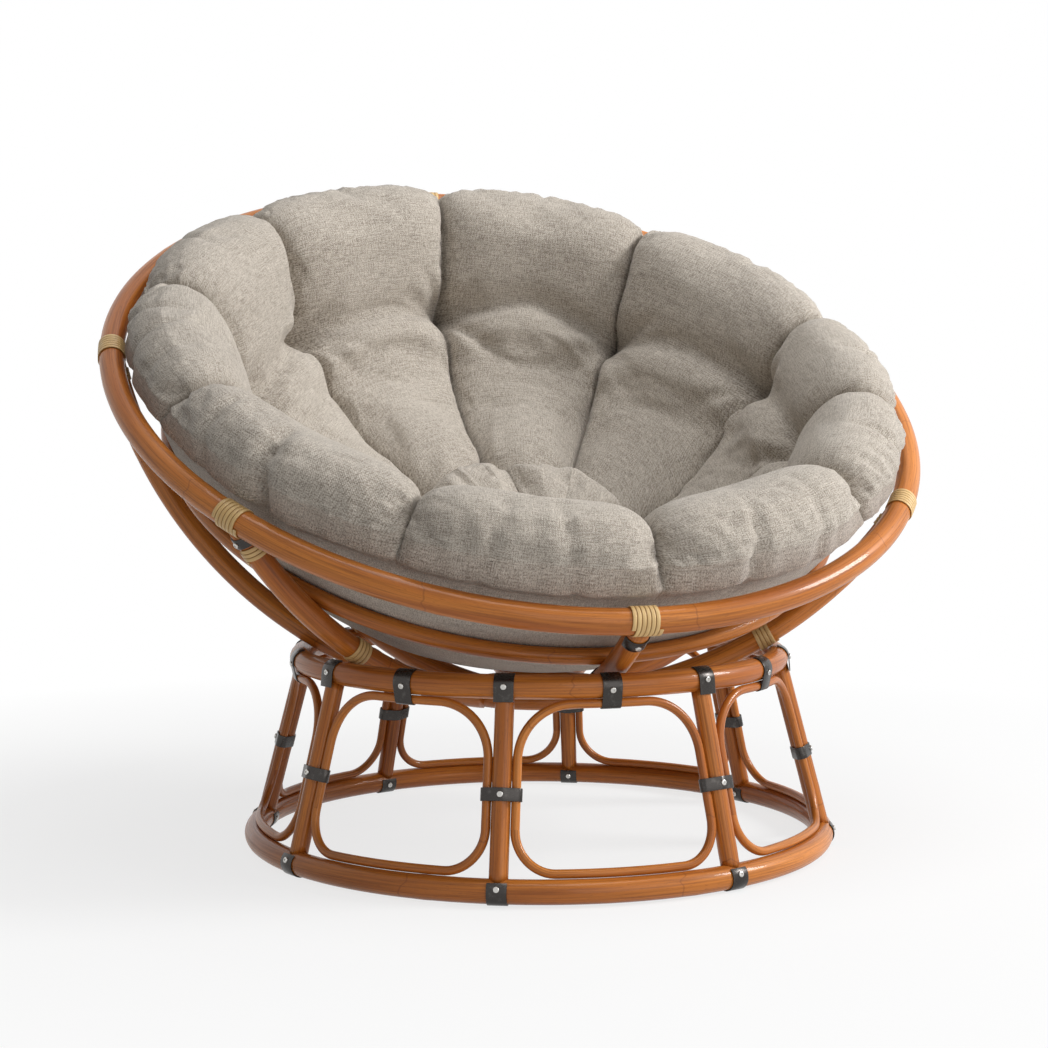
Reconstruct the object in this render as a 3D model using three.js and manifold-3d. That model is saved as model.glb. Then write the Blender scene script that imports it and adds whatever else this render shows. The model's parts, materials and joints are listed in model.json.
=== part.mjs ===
// A papasan chair: a drum base of bent rattan, a bowl frame that tilts in it, and a round tufted cushion.
// Millimetres, +Z up. The chair faces -Y, and its origin is the middle of its outer box on the floor.
import * as THREE from "three";
import { mergeVertices } from "three/addons/utils/BufferGeometryUtils.js";
import Module from "manifold-3d";

// Shared fits
const CLEARANCE = 0.3;
const EMBED = 0.5;

// Base: two rings, eight leaning legs, eight bent loops and their metal straps
const BOTTOM_RING_RADIUS = 359;
const TOP_RING_RADIUS = 301;
const RING_TUBE_RADIUS = 14;
const TOP_RING_HEIGHT = 235;
const LEG_TUBE_RADIUS = 11;
const LEG_COUNT = 8;
const LEG_TWIST = THREE.MathUtils.degToRad(-26);
const LOOP_TUBE_RADIUS = 5.25;
const LOOP_LOWER_BEND_RADIUS = 42;
const LOOP_UPPER_BEND_RADIUS = 68;
const STRAP_THICKNESS = 1.2;
const STRAP_WIDTH = 23;
const CLAMP_WIDTH = 15;
const CLAMP_HEIGHT = 118;

// Bowl frame: the rim, the hoop inside it, the hub ring and the ribs lie on spheres about the bowl's centre
const RIM_RADIUS = 519;
const RIM_TUBE_RADIUS = 15.5;
const RIM_POLAR = THREE.MathUtils.degToRad(72.24);
const RIB_TUBE_RADIUS = 14;
const RIB_ANGLES = [54, -54, 97, -97, 139, -139, 180].map(THREE.MathUtils.degToRad);
const REST_TILT = THREE.MathUtils.degToRad(31.3);
const HOOP_TUBE_RADIUS = 10;
const HOOP_POLAR = THREE.MathUtils.degToRad(58);
const HUB_RADIUS = 92;
const HUB_TUBE_RADIUS = 12;
const CLIP_WIDTH = 12;
const CLIP_SETBACK = 3;

// Flat rattan peel, wound round the rim over each rib end and round four ribs where they rest on the base
const PEEL_THICKNESS = 1.6;
const PEEL_WIDTH = 4.7;
const PEEL_PITCH = 5.4;
const RIM_WINDING_TURNS = 6;
const REST_WINDING_TURNS = 4;
const REST_WOUND_RIBS = [0, 1, 4, 5];

// Cushion: a dished pad with a rolled edge that has slipped towards the front, ten channels and two rings of tufts
const CUSHION_THICKNESS = 112;
const MIDDLE_RISE = 86;
const ROLL_INSET = 8;
const ROLL_RISE = 19;
const ROLL_SLIP = 20;
const ROLL_HALF_WIDTH = 66;
const ROLL_HALF_HEIGHT = 55;
const CHANNEL_COUNT = 10;
const CHANNEL_DEPTH = 26;
const PUFF_HEIGHT = 12;
const TUFT_DEPTH = 26;
const TUFT_SPREAD = 52;
const OUTER_TUFT_POLAR = THREE.MathUtils.degToRad(51);
const INNER_TUFT_POLAR = THREE.MathUtils.degToRad(17);
const SHELL_START_POLAR = THREE.MathUtils.degToRad(7);
const ROLL_START_ANGLE = THREE.MathUtils.degToRad(-25);
const ROLL_END_POLAR = THREE.MathUtils.degToRad(60);
const INNER_POLAR_SHARES = [0.84, 0.67, 0.5, 1 / 3, 0.14];
const CREASE_SHARPNESS = 1.5;

// Facets
const RING_SEGMENTS = 48;
const RING_SIDES = 12;
const LEG_SIDES = 12;
const LOOP_SIDES = 6;
const LOOP_BEND_STEPS = 4;
const TOP_STRAP_STEPS = 4;
const RIM_SEGMENTS = 72;
const RIM_SIDES = 8;
const HOOP_SEGMENTS = 40;
const HOOP_SIDES = 6;
const HUB_SEGMENTS = 24;
const HUB_SIDES = 8;
const RIB_STEPS_BELOW = 4;
const RIB_STEPS_ABOVE = 8;
const CUSHION_SPOKES = 60;
const CUSHION_SHELL_STEPS = 4;
const CUSHION_ROLL_STEPS = 8;

// Places worked out from the sizes above
const FULL_TURN = 2 * Math.PI;
const RIGHT_ANGLE = Math.PI / 2;
const RING_SECTOR = FULL_TURN / RING_SIDES;
const BOTTOM_RING_HEIGHT = RING_TUBE_RADIUS + CLEARANCE + STRAP_THICKNESS;
const BASE_RISE = TOP_RING_HEIGHT - BOTTOM_RING_HEIGHT;
const LEG_LEAN = Math.atan2(BOTTOM_RING_RADIUS - TOP_RING_RADIUS, BASE_RISE);
const LEG_LENGTH = Math.hypot(BOTTOM_RING_RADIUS - TOP_RING_RADIUS, BASE_RISE);
const PANEL_TURN = FULL_TURN / LEG_COUNT;
const LOOP_SIDE_OFFSET = LEG_TUBE_RADIUS + CLEARANCE + LOOP_TUBE_RADIUS;
const LOOP_END_OFFSET = RING_TUBE_RADIUS + CLEARANCE + LOOP_TUBE_RADIUS;
const RIB_SPHERE_RADIUS = RIM_RADIUS / Math.sin(RIM_POLAR);
const RIM_DROP = RIM_RADIUS / Math.tan(RIM_POLAR);
const WOUND_RIB_RADIUS = RIB_TUBE_RADIUS + CLEARANCE + PEEL_THICKNESS;
const SEAT_DISTANCE = RIB_SPHERE_RADIUS + WOUND_RIB_RADIUS + CLEARANCE + RING_TUBE_RADIUS;
const SEAT_POLAR = Math.asin(TOP_RING_RADIUS / SEAT_DISTANCE);
const BOWL_CENTRE_HEIGHT = TOP_RING_HEIGHT + SEAT_DISTANCE * Math.cos(SEAT_POLAR);
const HOOP_SPHERE_RADIUS = RIB_SPHERE_RADIUS - RIB_TUBE_RADIUS - CLEARANCE - HOOP_TUBE_RADIUS;
const CUSHION_SPHERE_RADIUS = HOOP_SPHERE_RADIUS - HOOP_TUBE_RADIUS - CLEARANCE;
const ROLL_CENTRE_RADIUS = RIM_RADIUS - RIM_TUBE_RADIUS - ROLL_INSET - ROLL_HALF_WIDTH;
const STRUT_OVERHANG = HOOP_TUBE_RADIUS + STRAP_THICKNESS + CLIP_WIDTH + CLIP_SETBACK;
const HUB_DIRECTION = new THREE.Vector3(0, -Math.sin(REST_TILT), -Math.cos(REST_TILT));

const FINISHES = {
  rattan: { color: 0xb9713f, roughness: 0.38, metalness: 0 },
  peel: { color: 0xdcc08a, roughness: 0.6, metalness: 0 },
  steel: { color: 0x4a4746, roughness: 0.42, metalness: 0.85 },
  fabric: { color: 0xa79c8d, roughness: 0.95, metalness: 0 },
};

const wasm = await Module();
wasm.setup();

// A closed geometry as a solid that can be joined and cut.
function solidOf(geometry) {
  const bare = geometry.clone();
  for (const name of Object.keys(bare.attributes)) {
    if (name !== "position") bare.deleteAttribute(name);
  }
  const merged = mergeVertices(bare);
  return new wasm.Manifold(
    new wasm.Mesh({
      numProp: 3,
      vertProperties: merged.attributes.position.array,
      triVerts: new Uint32Array(merged.index.array),
    }),
  );
}

function geometryOf(solid) {
  const mesh = solid.getMesh();
  const geometry = new THREE.BufferGeometry();
  geometry.setAttribute("position", new THREE.BufferAttribute(mesh.vertProperties, 3));
  geometry.setIndex(new THREE.BufferAttribute(mesh.triVerts, 1));
  geometry.computeVertexNormals();
  return geometry;
}

// A skin over a row of rings with as many points each, closed into a loop or shut with a fan at each end.
function loft(rings, closed) {
  const sides = rings[0].length;
  const points = rings.flat();
  const faces = [];
  const spans = closed ? rings.length : rings.length - 1;
  for (let i = 0; i < spans; i++) {
    const here = i * sides;
    const next = ((i + 1) % rings.length) * sides;
    for (let j = 0; j < sides; j++) {
      const k = (j + 1) % sides;
      faces.push(here + j, here + k, next + k, here + j, next + k, next + j);
    }
  }
  if (!closed) {
    shutEnd(points, faces, 0, sides, true);
    shutEnd(points, faces, (rings.length - 1) * sides, sides, false);
  }
  const geometry = new THREE.BufferGeometry().setFromPoints(points);
  geometry.setIndex(faces);
  geometry.computeVertexNormals();
  return geometry;
}

function shutEnd(points, faces, first, sides, facesBack) {
  const middle = new THREE.Vector3();
  for (let j = 0; j < sides; j++) middle.addScaledVector(points[first + j], 1 / sides);
  const centre = points.push(middle) - 1;
  for (let j = 0; j < sides; j++) {
    const a = first + j;
    const b = first + ((j + 1) % sides);
    faces.push(...(facesBack ? [centre, b, a] : [centre, a, b]));
  }
}

function makeMesh(name, geometry, finish) {
  const mesh = new THREE.Mesh(geometry, new THREE.MeshStandardMaterial(FINISHES[finish]));
  mesh.name = name;
  return mesh;
}

// A ring bent from one tube, about the Z axis.
function ringGeometry(radius, tubeRadius, sides, segments) {
  return new THREE.TorusGeometry(radius, tubeRadius, sides, segments);
}

// A flat strip bent along an outline that lies in the plane of X (outwards) and Y (upwards), as wide as told.
function stripGeometry(inner, outer, width) {
  const shape = new THREE.Shape([...inner, ...outer.toReversed()]);
  const geometry = new THREE.ExtrudeGeometry(shape, { depth: width, bevelEnabled: false });
  return geometry.translate(0, 0, -width / 2);
}

function arcPoints(centre, radius, angles) {
  return angles.map((a) => new THREE.Vector2(Math.cos(a), Math.sin(a)).multiplyScalar(radius).add(centre));
}

// The radius that keeps a bent strip's flats clear of what it goes round.
function flatsRadius(radius, step) {
  return radius / Math.cos(step / 2);
}

// Turns a strip from its drawing plane to the front of the chair: outwards becomes -Y, upwards stays up.
function toFront(geometry) {
  const turn = new THREE.Matrix4().makeBasis(
    new THREE.Vector3(0, -1, 0),
    new THREE.Vector3(0, 0, 1),
    new THREE.Vector3(-1, 0, 0),
  );
  return geometry.applyMatrix4(turn);
}

function coneRadius(height) {
  return BOTTOM_RING_RADIUS - (height - BOTTOM_RING_HEIGHT) * Math.tan(LEG_LEAN);
}

function grownRing(radius, height, growth) {
  const ring = ringGeometry(radius, RING_TUBE_RADIUS + growth, RING_SIDES, RING_SEGMENTS);
  return solidOf(ring.translate(0, 0, height));
}

// A leg in front, coped to both rings, with the strap from its outer side round under the bottom ring to its inner.
function legGeometry() {
  const pole = new THREE.CylinderGeometry(LEG_TUBE_RADIUS, LEG_TUBE_RADIUS, LEG_LENGTH, LEG_SIDES);
  pole.rotateX(RIGHT_ANGLE - LEG_LEAN);
  const middleHeight = (TOP_RING_HEIGHT + BOTTOM_RING_HEIGHT) / 2;
  pole.translate(0, -coneRadius(middleHeight), middleHeight);
  const coped = solidOf(pole)
    .add(solidOf(footStrapGeometry()))
    .subtract(grownRing(BOTTOM_RING_RADIUS, BOTTOM_RING_HEIGHT, CLEARANCE))
    .subtract(grownRing(TOP_RING_RADIUS, TOP_RING_HEIGHT, CLEARANCE));
  return geometryOf(coped.decompose().reduce((a, b) => (b.volume() > a.volume() ? b : a)));
}

function footStrapGeometry() {
  const angles = [];
  for (let step = 2; step >= -8; step--) angles.push((step + 1 / 2) * RING_SECTOR);
  const centre = new THREE.Vector2(BOTTOM_RING_RADIUS, BOTTOM_RING_HEIGHT);
  const innerRadius = flatsRadius(RING_TUBE_RADIUS + CLEARANCE, RING_SECTOR);
  const outerRadius = flatsRadius(BOTTOM_RING_HEIGHT, RING_SECTOR);
  const inner = arcPoints(centre, innerRadius, angles);
  const outer = arcPoints(centre, outerRadius, angles);
  return toFront(stripGeometry(inner, outer, STRAP_WIDTH));
}

// The strap over the top ring at a leg stops on top, short of the line where the bowl rests.
function topStrapGeometry() {
  const lowest = -RIGHT_ANGLE + LEG_LEAN + Math.asin(LEG_TUBE_RADIUS / RING_TUBE_RADIUS);
  const end = lowest + 2 * Math.asin(STRAP_THICKNESS / RING_TUBE_RADIUS);
  const angles = evenTurns(RIGHT_ANGLE, end, TOP_STRAP_STEPS);
  const centre = new THREE.Vector2(TOP_RING_RADIUS, TOP_RING_HEIGHT);
  const innerRadius = flatsRadius(RING_TUBE_RADIUS + CLEARANCE, (RIGHT_ANGLE - end) / TOP_STRAP_STEPS);
  const inner = arcPoints(centre, innerRadius, angles);
  const outer = arcPoints(centre, innerRadius + STRAP_THICKNESS, angles);
  return toFront(stripGeometry(inner, outer, STRAP_WIDTH));
}

// Corner points of a loop, unrolled flat: X along the ring, Y the height.
function loopCorners() {
  const slantToHeight = Math.cos(LEG_LEAN);
  const low = BOTTOM_RING_HEIGHT + LOOP_END_OFFSET * slantToHeight;
  const high = TOP_RING_HEIGHT - LOOP_END_OFFSET * slantToHeight;
  const halfWidth = (height) => (coneRadius(height) * PANEL_TURN) / 2 - LOOP_SIDE_OFFSET;
  return [
    { x: -halfWidth(low), y: low, bend: LOOP_LOWER_BEND_RADIUS },
    { x: halfWidth(low), y: low, bend: LOOP_LOWER_BEND_RADIUS },
    { x: halfWidth(high), y: high, bend: LOOP_UPPER_BEND_RADIUS },
    { x: -halfWidth(high), y: high, bend: LOOP_UPPER_BEND_RADIUS },
  ];
}

// Points round a polygon whose corners are rounded with their own bend radius.
function roundedOutline(corners, steps) {
  const points = [];
  corners.forEach((corner, i) => {
    const at = new THREE.Vector2(corner.x, corner.y);
    const before = corners[(i + corners.length - 1) % corners.length];
    const after = corners[(i + 1) % corners.length];
    const back = new THREE.Vector2(before.x, before.y).sub(at).normalize();
    const ahead = new THREE.Vector2(after.x, after.y).sub(at).normalize();
    const half = Math.acos(back.dot(ahead)) / 2;
    const inwards = back.clone().add(ahead).normalize();
    const centre = at.clone().addScaledVector(inwards, corner.bend / Math.sin(half));
    const start = Math.atan2(-inwards.y, -inwards.x) - (RIGHT_ANGLE - half);
    for (let k = 0; k <= steps; k++) {
      const angle = start + ((Math.PI - 2 * half) * k) / steps;
      const out = new THREE.Vector2(Math.cos(angle), Math.sin(angle));
      points.push(out.multiplyScalar(corner.bend).add(centre));
    }
  });
  return points;
}

// A point of the cone on which the loops lie: along the ring from the panel's middle, and up.
function onCone(along, height) {
  const radius = coneRadius(height);
  return new THREE.Vector3(radius * Math.sin(along / radius), -radius * Math.cos(along / radius), height);
}

// A loop fills a panel between two legs. It is drawn in front and carries the strap that hangs it on the top ring.
function loopGeometry() {
  const route = roundedOutline(loopCorners(), LOOP_BEND_STEPS).map((p) => onCone(p.x, p.y));
  const rings = route.map((at, i) => {
    const before = route[(i + route.length - 1) % route.length];
    const after = route[(i + 1) % route.length];
    const ahead = after.clone().sub(before).normalize();
    const outwards = new THREE.Vector3(at.x, at.y, 0).normalize();
    const side = new THREE.Vector3().crossVectors(ahead, outwards).normalize();
    outwards.crossVectors(side, ahead);
    return sectionRing(at, outwards, side, LOOP_TUBE_RADIUS, LOOP_SIDES);
  });
  return geometryOf(solidOf(loft(rings, true)).add(solidOf(panelStrapGeometry())));
}

function sectionRing(centre, xAxis, yAxis, radius, sides) {
  return Array.from({ length: sides }, (_, j) => {
    const angle = (FULL_TURN * j) / sides;
    return centre
      .clone()
      .addScaledVector(xAxis, radius * Math.cos(angle))
      .addScaledVector(yAxis, radius * Math.sin(angle));
  });
}

function panelStrapGeometry() {
  const ring = new THREE.Vector2(TOP_RING_RADIUS, TOP_RING_HEIGHT);
  const down = -RIGHT_ANGLE + LEG_LEAN;
  const loop = arcPoints(ring, LOOP_END_OFFSET, [down])[0];
  const ringReach = flatsRadius(RING_TUBE_RADIUS + CLEARANCE, RING_SECTOR);
  const loopReach = LOOP_TUBE_RADIUS - EMBED;
  const tangent = down + Math.acos((ringReach - loopReach) / LOOP_END_OFFSET);
  const ringAngles = [3, 2, 1, 0].map((step) => step * RING_SECTOR);
  ringAngles.push(tangent);
  const loopAngles = [0, 1, 2, 3, 4].map((step) => tangent - step * RING_SECTOR);
  const wall = EMBED + STRAP_THICKNESS;
  const inner = [...arcPoints(ring, ringReach, ringAngles), ...arcPoints(loop, loopReach, loopAngles)];
  const outer = [
    ...arcPoints(ring, ringReach + STRAP_THICKNESS, ringAngles),
    ...arcPoints(loop, loopReach + wall, loopAngles),
  ];
  return toFront(stripGeometry(inner, outer, STRAP_WIDTH));
}

// Outline of a band drawn tight round a leg and the loops beside it, as far off each as told.
function clampOutline(margin) {
  const radiusAtClamp = coneRadius(CLAMP_HEIGHT);
  const setback = radiusAtClamp - Math.sqrt(radiusAtClamp ** 2 - LOOP_SIDE_OFFSET ** 2);
  const legReach = LEG_TUBE_RADIUS + margin;
  const loopReach = LOOP_TUBE_RADIUS + setback + margin;
  const turn = Math.acos((legReach - loopReach) / LOOP_SIDE_OFFSET);
  const loopAngles = [-1, -1 / 2, 0, 1 / 2, 1].map((share) => share * turn);
  const legAngles = [0, 1 / 2, 1].map((share) => turn + share * (Math.PI - 2 * turn));
  const loopRadius = flatsRadius(loopReach, turn / 2);
  const legRadius = flatsRadius(legReach, (Math.PI - 2 * turn) / 2);
  const right = arcPoints(new THREE.Vector2(LOOP_SIDE_OFFSET, 0), loopRadius, loopAngles);
  const front = arcPoints(new THREE.Vector2(), legRadius, legAngles);
  const half = [...right, ...front.slice(1, -1)];
  return [...half, ...half.map((p) => p.clone().negate())];
}

function clampGeometry() {
  const shape = new THREE.Shape(clampOutline(CLEARANCE + STRAP_THICKNESS));
  shape.holes.push(new THREE.Path(clampOutline(CLEARANCE)));
  const band = new THREE.ExtrudeGeometry(shape, { depth: CLAMP_WIDTH, bevelEnabled: false });
  band.translate(0, 0, -CLAMP_WIDTH / 2);
  band.rotateX(-LEG_LEAN);
  return band.translate(0, -coneRadius(CLAMP_HEIGHT), CLAMP_HEIGHT);
}

function placeAround(group, names, geometry, finish, startTurn) {
  names.forEach((name, k) => {
    const mesh = makeMesh(name, geometry, finish);
    mesh.rotation.z = startTurn + k * PANEL_TURN;
    group.add(mesh);
  });
}

function numbered(name) {
  return Array.from({ length: LEG_COUNT }, (_, k) => `${name}_${k + 1}`);
}

function buildBase() {
  const base = new THREE.Group();
  const rings = [
    ["base_bottom_ring", BOTTOM_RING_RADIUS, BOTTOM_RING_HEIGHT],
    ["base_top_ring", TOP_RING_RADIUS, TOP_RING_HEIGHT],
  ];
  for (const [name, radius, height] of rings) {
    const mesh = makeMesh(name, ringGeometry(radius, RING_TUBE_RADIUS, RING_SIDES, RING_SEGMENTS), "rattan");
    mesh.position.z = height;
    base.add(mesh);
  }
  placeAround(base, numbered("leg"), legGeometry(), "rattan", 0);
  placeAround(base, numbered("panel_loop"), loopGeometry(), "rattan", PANEL_TURN / 2);
  placeAround(base, numbered("mid_clamp"), clampGeometry(), "steel", 0);
  placeAround(base, numbered("top_strap"), topStrapGeometry(), "steel", 0);
  base.rotation.z = LEG_TWIST;
  return base;
}

// The point of a faceted bent tube's own skin at an angle along its bend and an angle round the tube.
function onTube(tube, along, around, radius) {
  const last = tube.stations.length - 2;
  const next = tube.stations.findIndex((angle) => angle > along);
  const station = next < 0 ? last : THREE.MathUtils.clamp(next - 1, 0, last);
  const [from, to] = tube.stations.slice(station, station + 2);
  const corner = (angle) => {
    const reach = tube.bend + radius * Math.cos(around);
    return new THREE.Vector3(reach * Math.cos(angle), reach * Math.sin(angle), radius * Math.sin(around));
  };
  return corner(from).lerp(corner(to), (along - from) / (to - from));
}

// Flat peel wound round a bent tube as one strip, turn beside turn, with its middle at an angle of the bend.
function windingGeometry(tube, middle, turns) {
  const steps = turns * tube.sides;
  const low = tube.radius + CLEARANCE;
  const high = low + PEEL_THICKNESS;
  const halfWidth = PEEL_WIDTH / 2 / tube.bend;
  const rings = [];
  for (let i = 0; i <= steps; i++) {
    const around = (FULL_TURN * i) / tube.sides;
    const along = middle + ((i / tube.sides - turns / 2) * PEEL_PITCH) / tube.bend;
    rings.push([
      onTube(tube, along - halfWidth, around, low),
      onTube(tube, along - halfWidth, around, high),
      onTube(tube, along + halfWidth, around, high),
      onTube(tube, along + halfWidth, around, low),
    ]);
  }
  noteGap(rings, tube.sides);
  return loft(rings, false);
}

let leastWindingGap = Infinity;

// Keeps the least distance between a turn's leading edge and the next turn's trailing edge.
function noteGap(rings, stepsPerTurn) {
  for (let i = 0; i + stepsPerTurn < rings.length; i++) {
    const next = rings[i + stepsPerTurn];
    leastWindingGap = Math.min(leastWindingGap, rings[i][3].distanceTo(next[0]), rings[i][2].distanceTo(next[1]));
  }
}

// The plane of a rib: X towards the hub, Y towards the rim, and the angles at which the rib meets things.
function ribPlane(rimAngle) {
  const rim = new THREE.Vector3(RIM_RADIUS * Math.sin(rimAngle), -RIM_RADIUS * Math.cos(rimAngle), -RIM_DROP);
  rim.normalize();
  const rimTurn = rim.angleTo(HUB_DIRECTION);
  const across = rim.clone().addScaledVector(HUB_DIRECTION, -Math.cos(rimTurn)).normalize();
  const normal = new THREE.Vector3().crossVectors(HUB_DIRECTION, across);
  return { matrix: new THREE.Matrix4().makeBasis(HUB_DIRECTION, across, normal), rimTurn };
}

function ribRing(turn) {
  const outwards = new THREE.Vector3(Math.cos(turn), Math.sin(turn), 0);
  const side = new THREE.Vector3(0, 0, -1);
  const centre = outwards.clone().multiplyScalar(RIB_SPHERE_RADIUS);
  return sectionRing(centre, outwards, side, RIB_TUBE_RADIUS, RIM_SIDES);
}

function evenTurns(from, to, steps) {
  return Array.from({ length: steps + 1 }, (_, i) => from + ((to - from) * i) / steps);
}

function ribCutters() {
  const wound = RIM_TUBE_RADIUS + CLEARANCE + PEEL_THICKNESS + CLEARANCE;
  const rim = ringGeometry(RIM_RADIUS, wound, RIM_SIDES, RIM_SEGMENTS).translate(0, 0, -RIM_DROP);
  const hub = placeHub(ringGeometry(HUB_RADIUS, HUB_TUBE_RADIUS + CLEARANCE, HUB_SIDES, HUB_SEGMENTS));
  return [solidOf(rim), solidOf(hub)];
}

function placeHub(geometry) {
  geometry.rotateX(-REST_TILT);
  const reach = Math.sqrt(RIB_SPHERE_RADIUS ** 2 - HUB_RADIUS ** 2);
  const centre = HUB_DIRECTION.clone().multiplyScalar(reach);
  return geometry.translate(centre.x, centre.y, centre.z);
}

// A bent stick of the bowl from one turn of its plane to another, coped where it meets the rim and the hub.
function stickGeometry(plane, turns, cutters) {
  const stick = solidOf(loft(turns.map(ribRing), false).applyMatrix4(plane.matrix));
  const pieces = cutters.reduce((solid, cutter) => solid.subtract(cutter), stick).decompose();
  return geometryOf(pieces.reduce((a, b) => (b.volume() > a.volume() ? b : a)));
}

function hoopMesh() {
  const radius = HOOP_SPHERE_RADIUS * Math.sin(HOOP_POLAR);
  const mesh = makeMesh("bowl_hoop", ringGeometry(radius, HOOP_TUBE_RADIUS, HOOP_SIDES, HOOP_SEGMENTS), "rattan");
  mesh.position.z = -HOOP_SPHERE_RADIUS * Math.cos(HOOP_POLAR);
  return mesh;
}

// The band round the front strut's lower end, square to the strut's first straight facet.
function clipGeometry(turns) {
  const [end, next] = turns.map((turn) => new THREE.Vector3(Math.cos(turn), Math.sin(turn), 0));
  const along = next.clone().sub(end).normalize();
  const side = new THREE.Vector3(0, 0, 1);
  const outwards = new THREE.Vector3().crossVectors(along, side);
  const middle = end.multiplyScalar(RIB_SPHERE_RADIUS).addScaledVector(along, CLIP_SETBACK + CLIP_WIDTH / 2);
  const shape = new THREE.Shape(clipOutline(CLEARANCE + STRAP_THICKNESS));
  shape.holes.push(new THREE.Path(clipOutline(CLEARANCE)));
  const clip = new THREE.ExtrudeGeometry(shape, { depth: CLIP_WIDTH, bevelEnabled: false });
  clip.translate(0, 0, -CLIP_WIDTH / 2);
  clip.applyMatrix4(new THREE.Matrix4().makeBasis(side, outwards, along));
  return clip.translate(middle.x, middle.y, middle.z);
}

function clipOutline(margin) {
  const angles = Array.from({ length: RIM_SIDES }, (_, j) => (FULL_TURN * j) / RIM_SIDES);
  return arcPoints(new THREE.Vector2(), RIB_TUBE_RADIUS + margin, angles);
}

function addFrontStrut(bowl, cutters) {
  const plane = ribPlane(0);
  const endTurn = HOOP_POLAR - REST_TILT - STRUT_OVERHANG / RIB_SPHERE_RADIUS;
  const turns = evenTurns(endTurn, plane.rimTurn, RIB_STEPS_BELOW);
  bowl.add(makeMesh("front_strut", stickGeometry(plane, turns, cutters), "rattan"));
  bowl.add(makeMesh("strut_clip", clipGeometry(turns.slice(0, 2)).applyMatrix4(plane.matrix), "steel"));
}

function addRibs(bowl, cutters) {
  const hubTurn = Math.asin(HUB_RADIUS / RIB_SPHERE_RADIUS);
  RIB_ANGLES.forEach((rimAngle, k) => {
    const plane = ribPlane(rimAngle);
    const below = evenTurns(hubTurn, SEAT_POLAR, RIB_STEPS_BELOW);
    const above = evenTurns(SEAT_POLAR, plane.rimTurn, RIB_STEPS_ABOVE);
    const turns = [...below, ...above.slice(1)];
    bowl.add(makeMesh(`rib_${k + 1}`, stickGeometry(plane, turns, cutters), "rattan"));
    if (!REST_WOUND_RIBS.includes(k)) return;
    const tube = { bend: RIB_SPHERE_RADIUS, radius: RIB_TUBE_RADIUS, sides: RIM_SIDES, stations: turns };
    const winding = windingGeometry(tube, SEAT_POLAR, REST_WINDING_TURNS);
    bowl.add(makeMesh(`rest_winding_${k + 1}`, winding.applyMatrix4(plane.matrix), "peel"));
  });
}

function addRim(bowl) {
  const rim = makeMesh("rim", ringGeometry(RIM_RADIUS, RIM_TUBE_RADIUS, RIM_SIDES, RIM_SEGMENTS), "rattan");
  rim.position.z = -RIM_DROP;
  bowl.add(rim);
  const stations = evenTurns(-FULL_TURN, FULL_TURN, 2 * RIM_SEGMENTS);
  const tube = { bend: RIM_RADIUS, radius: RIM_TUBE_RADIUS, sides: RIM_SIDES, stations };
  [0, ...RIB_ANGLES].forEach((rimAngle, k) => {
    const winding = windingGeometry(tube, rimAngle - RIGHT_ANGLE, RIM_WINDING_TURNS);
    const mesh = makeMesh(`rim_winding_${k + 1}`, winding, "peel");
    mesh.position.z = -RIM_DROP;
    bowl.add(mesh);
  });
}

function buildBowl() {
  const bowl = new THREE.Group();
  const cutters = ribCutters();
  addRim(bowl);
  bowl.add(hoopMesh());
  const hub = placeHub(ringGeometry(HUB_RADIUS, HUB_TUBE_RADIUS, HUB_SIDES, HUB_SEGMENTS));
  bowl.add(makeMesh("hub_ring", hub, "rattan"));
  addFrontStrut(bowl, cutters);
  addRibs(bowl, cutters);
  return bowl;
}

// One row of the cushion's skin: a point of its section, the way out of the pad there and how deep channels run.
function cushionRows() {
  const shellRow = (radius, polar, sign, channel) => {
    const out = new THREE.Vector2(Math.sin(polar), -Math.cos(polar));
    return { at: out.clone().multiplyScalar(radius), out: out.multiplyScalar(sign), channel, polar };
  };
  const under = evenTurns(SHELL_START_POLAR, HOOP_POLAR, CUSHION_SHELL_STEPS);
  const over = [ROLL_END_POLAR, OUTER_TUFT_POLAR, ...INNER_POLAR_SHARES.map((share) => share * OUTER_TUFT_POLAR)];
  const roll = evenTurns(ROLL_START_ANGLE, Math.PI, CUSHION_ROLL_STEPS);
  return [
    ...under.map((polar) => shellRow(CUSHION_SPHERE_RADIUS, polar, 1, 0)),
    ...roll.map(rollRow),
    ...over.map((polar) => shellRow(innerRadius(polar), polar, -1, 1)),
  ];
}

// The pad is thickest in the middle of the seat, where it is filled up to a nearly level floor.
function innerRadius(polar) {
  const raised = 1 - THREE.MathUtils.smoothstep(polar, 0, OUTER_TUFT_POLAR);
  return CUSHION_SPHERE_RADIUS - CUSHION_THICKNESS - MIDDLE_RISE * raised;
}

function rollRow(angle) {
  const out = new THREE.Vector2(ROLL_HALF_HEIGHT * Math.cos(angle), ROLL_HALF_WIDTH * Math.sin(angle));
  const at = new THREE.Vector2(ROLL_HALF_WIDTH * Math.cos(angle), ROLL_HALF_HEIGHT * Math.sin(angle));
  at.add(new THREE.Vector2(ROLL_CENTRE_RADIUS, ROLL_RISE - RIM_DROP));
  const channel = THREE.MathUtils.smoothstep(angle, ROLL_START_ANGLE, RIGHT_ANGLE);
  return { at, out: out.normalize(), channel, polar: null };
}

// How far the skin lies above its section's outline: sunk in the channels, raised between them, drawn in at tufts.
function cushionRelief(row, spoke) {
  const wave = Math.abs(Math.sin((CHANNEL_COUNT * spoke) / 2));
  const middle = row.polar === null ? 1 : THREE.MathUtils.smoothstep(row.polar, 0, INNER_TUFT_POLAR);
  const crease = (1 - wave) ** CREASE_SHARPNESS;
  const swell = row.channel * middle * (PUFF_HEIGHT * wave - CHANNEL_DEPTH * crease);
  return swell - tuftPull(row, spoke);
}

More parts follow.
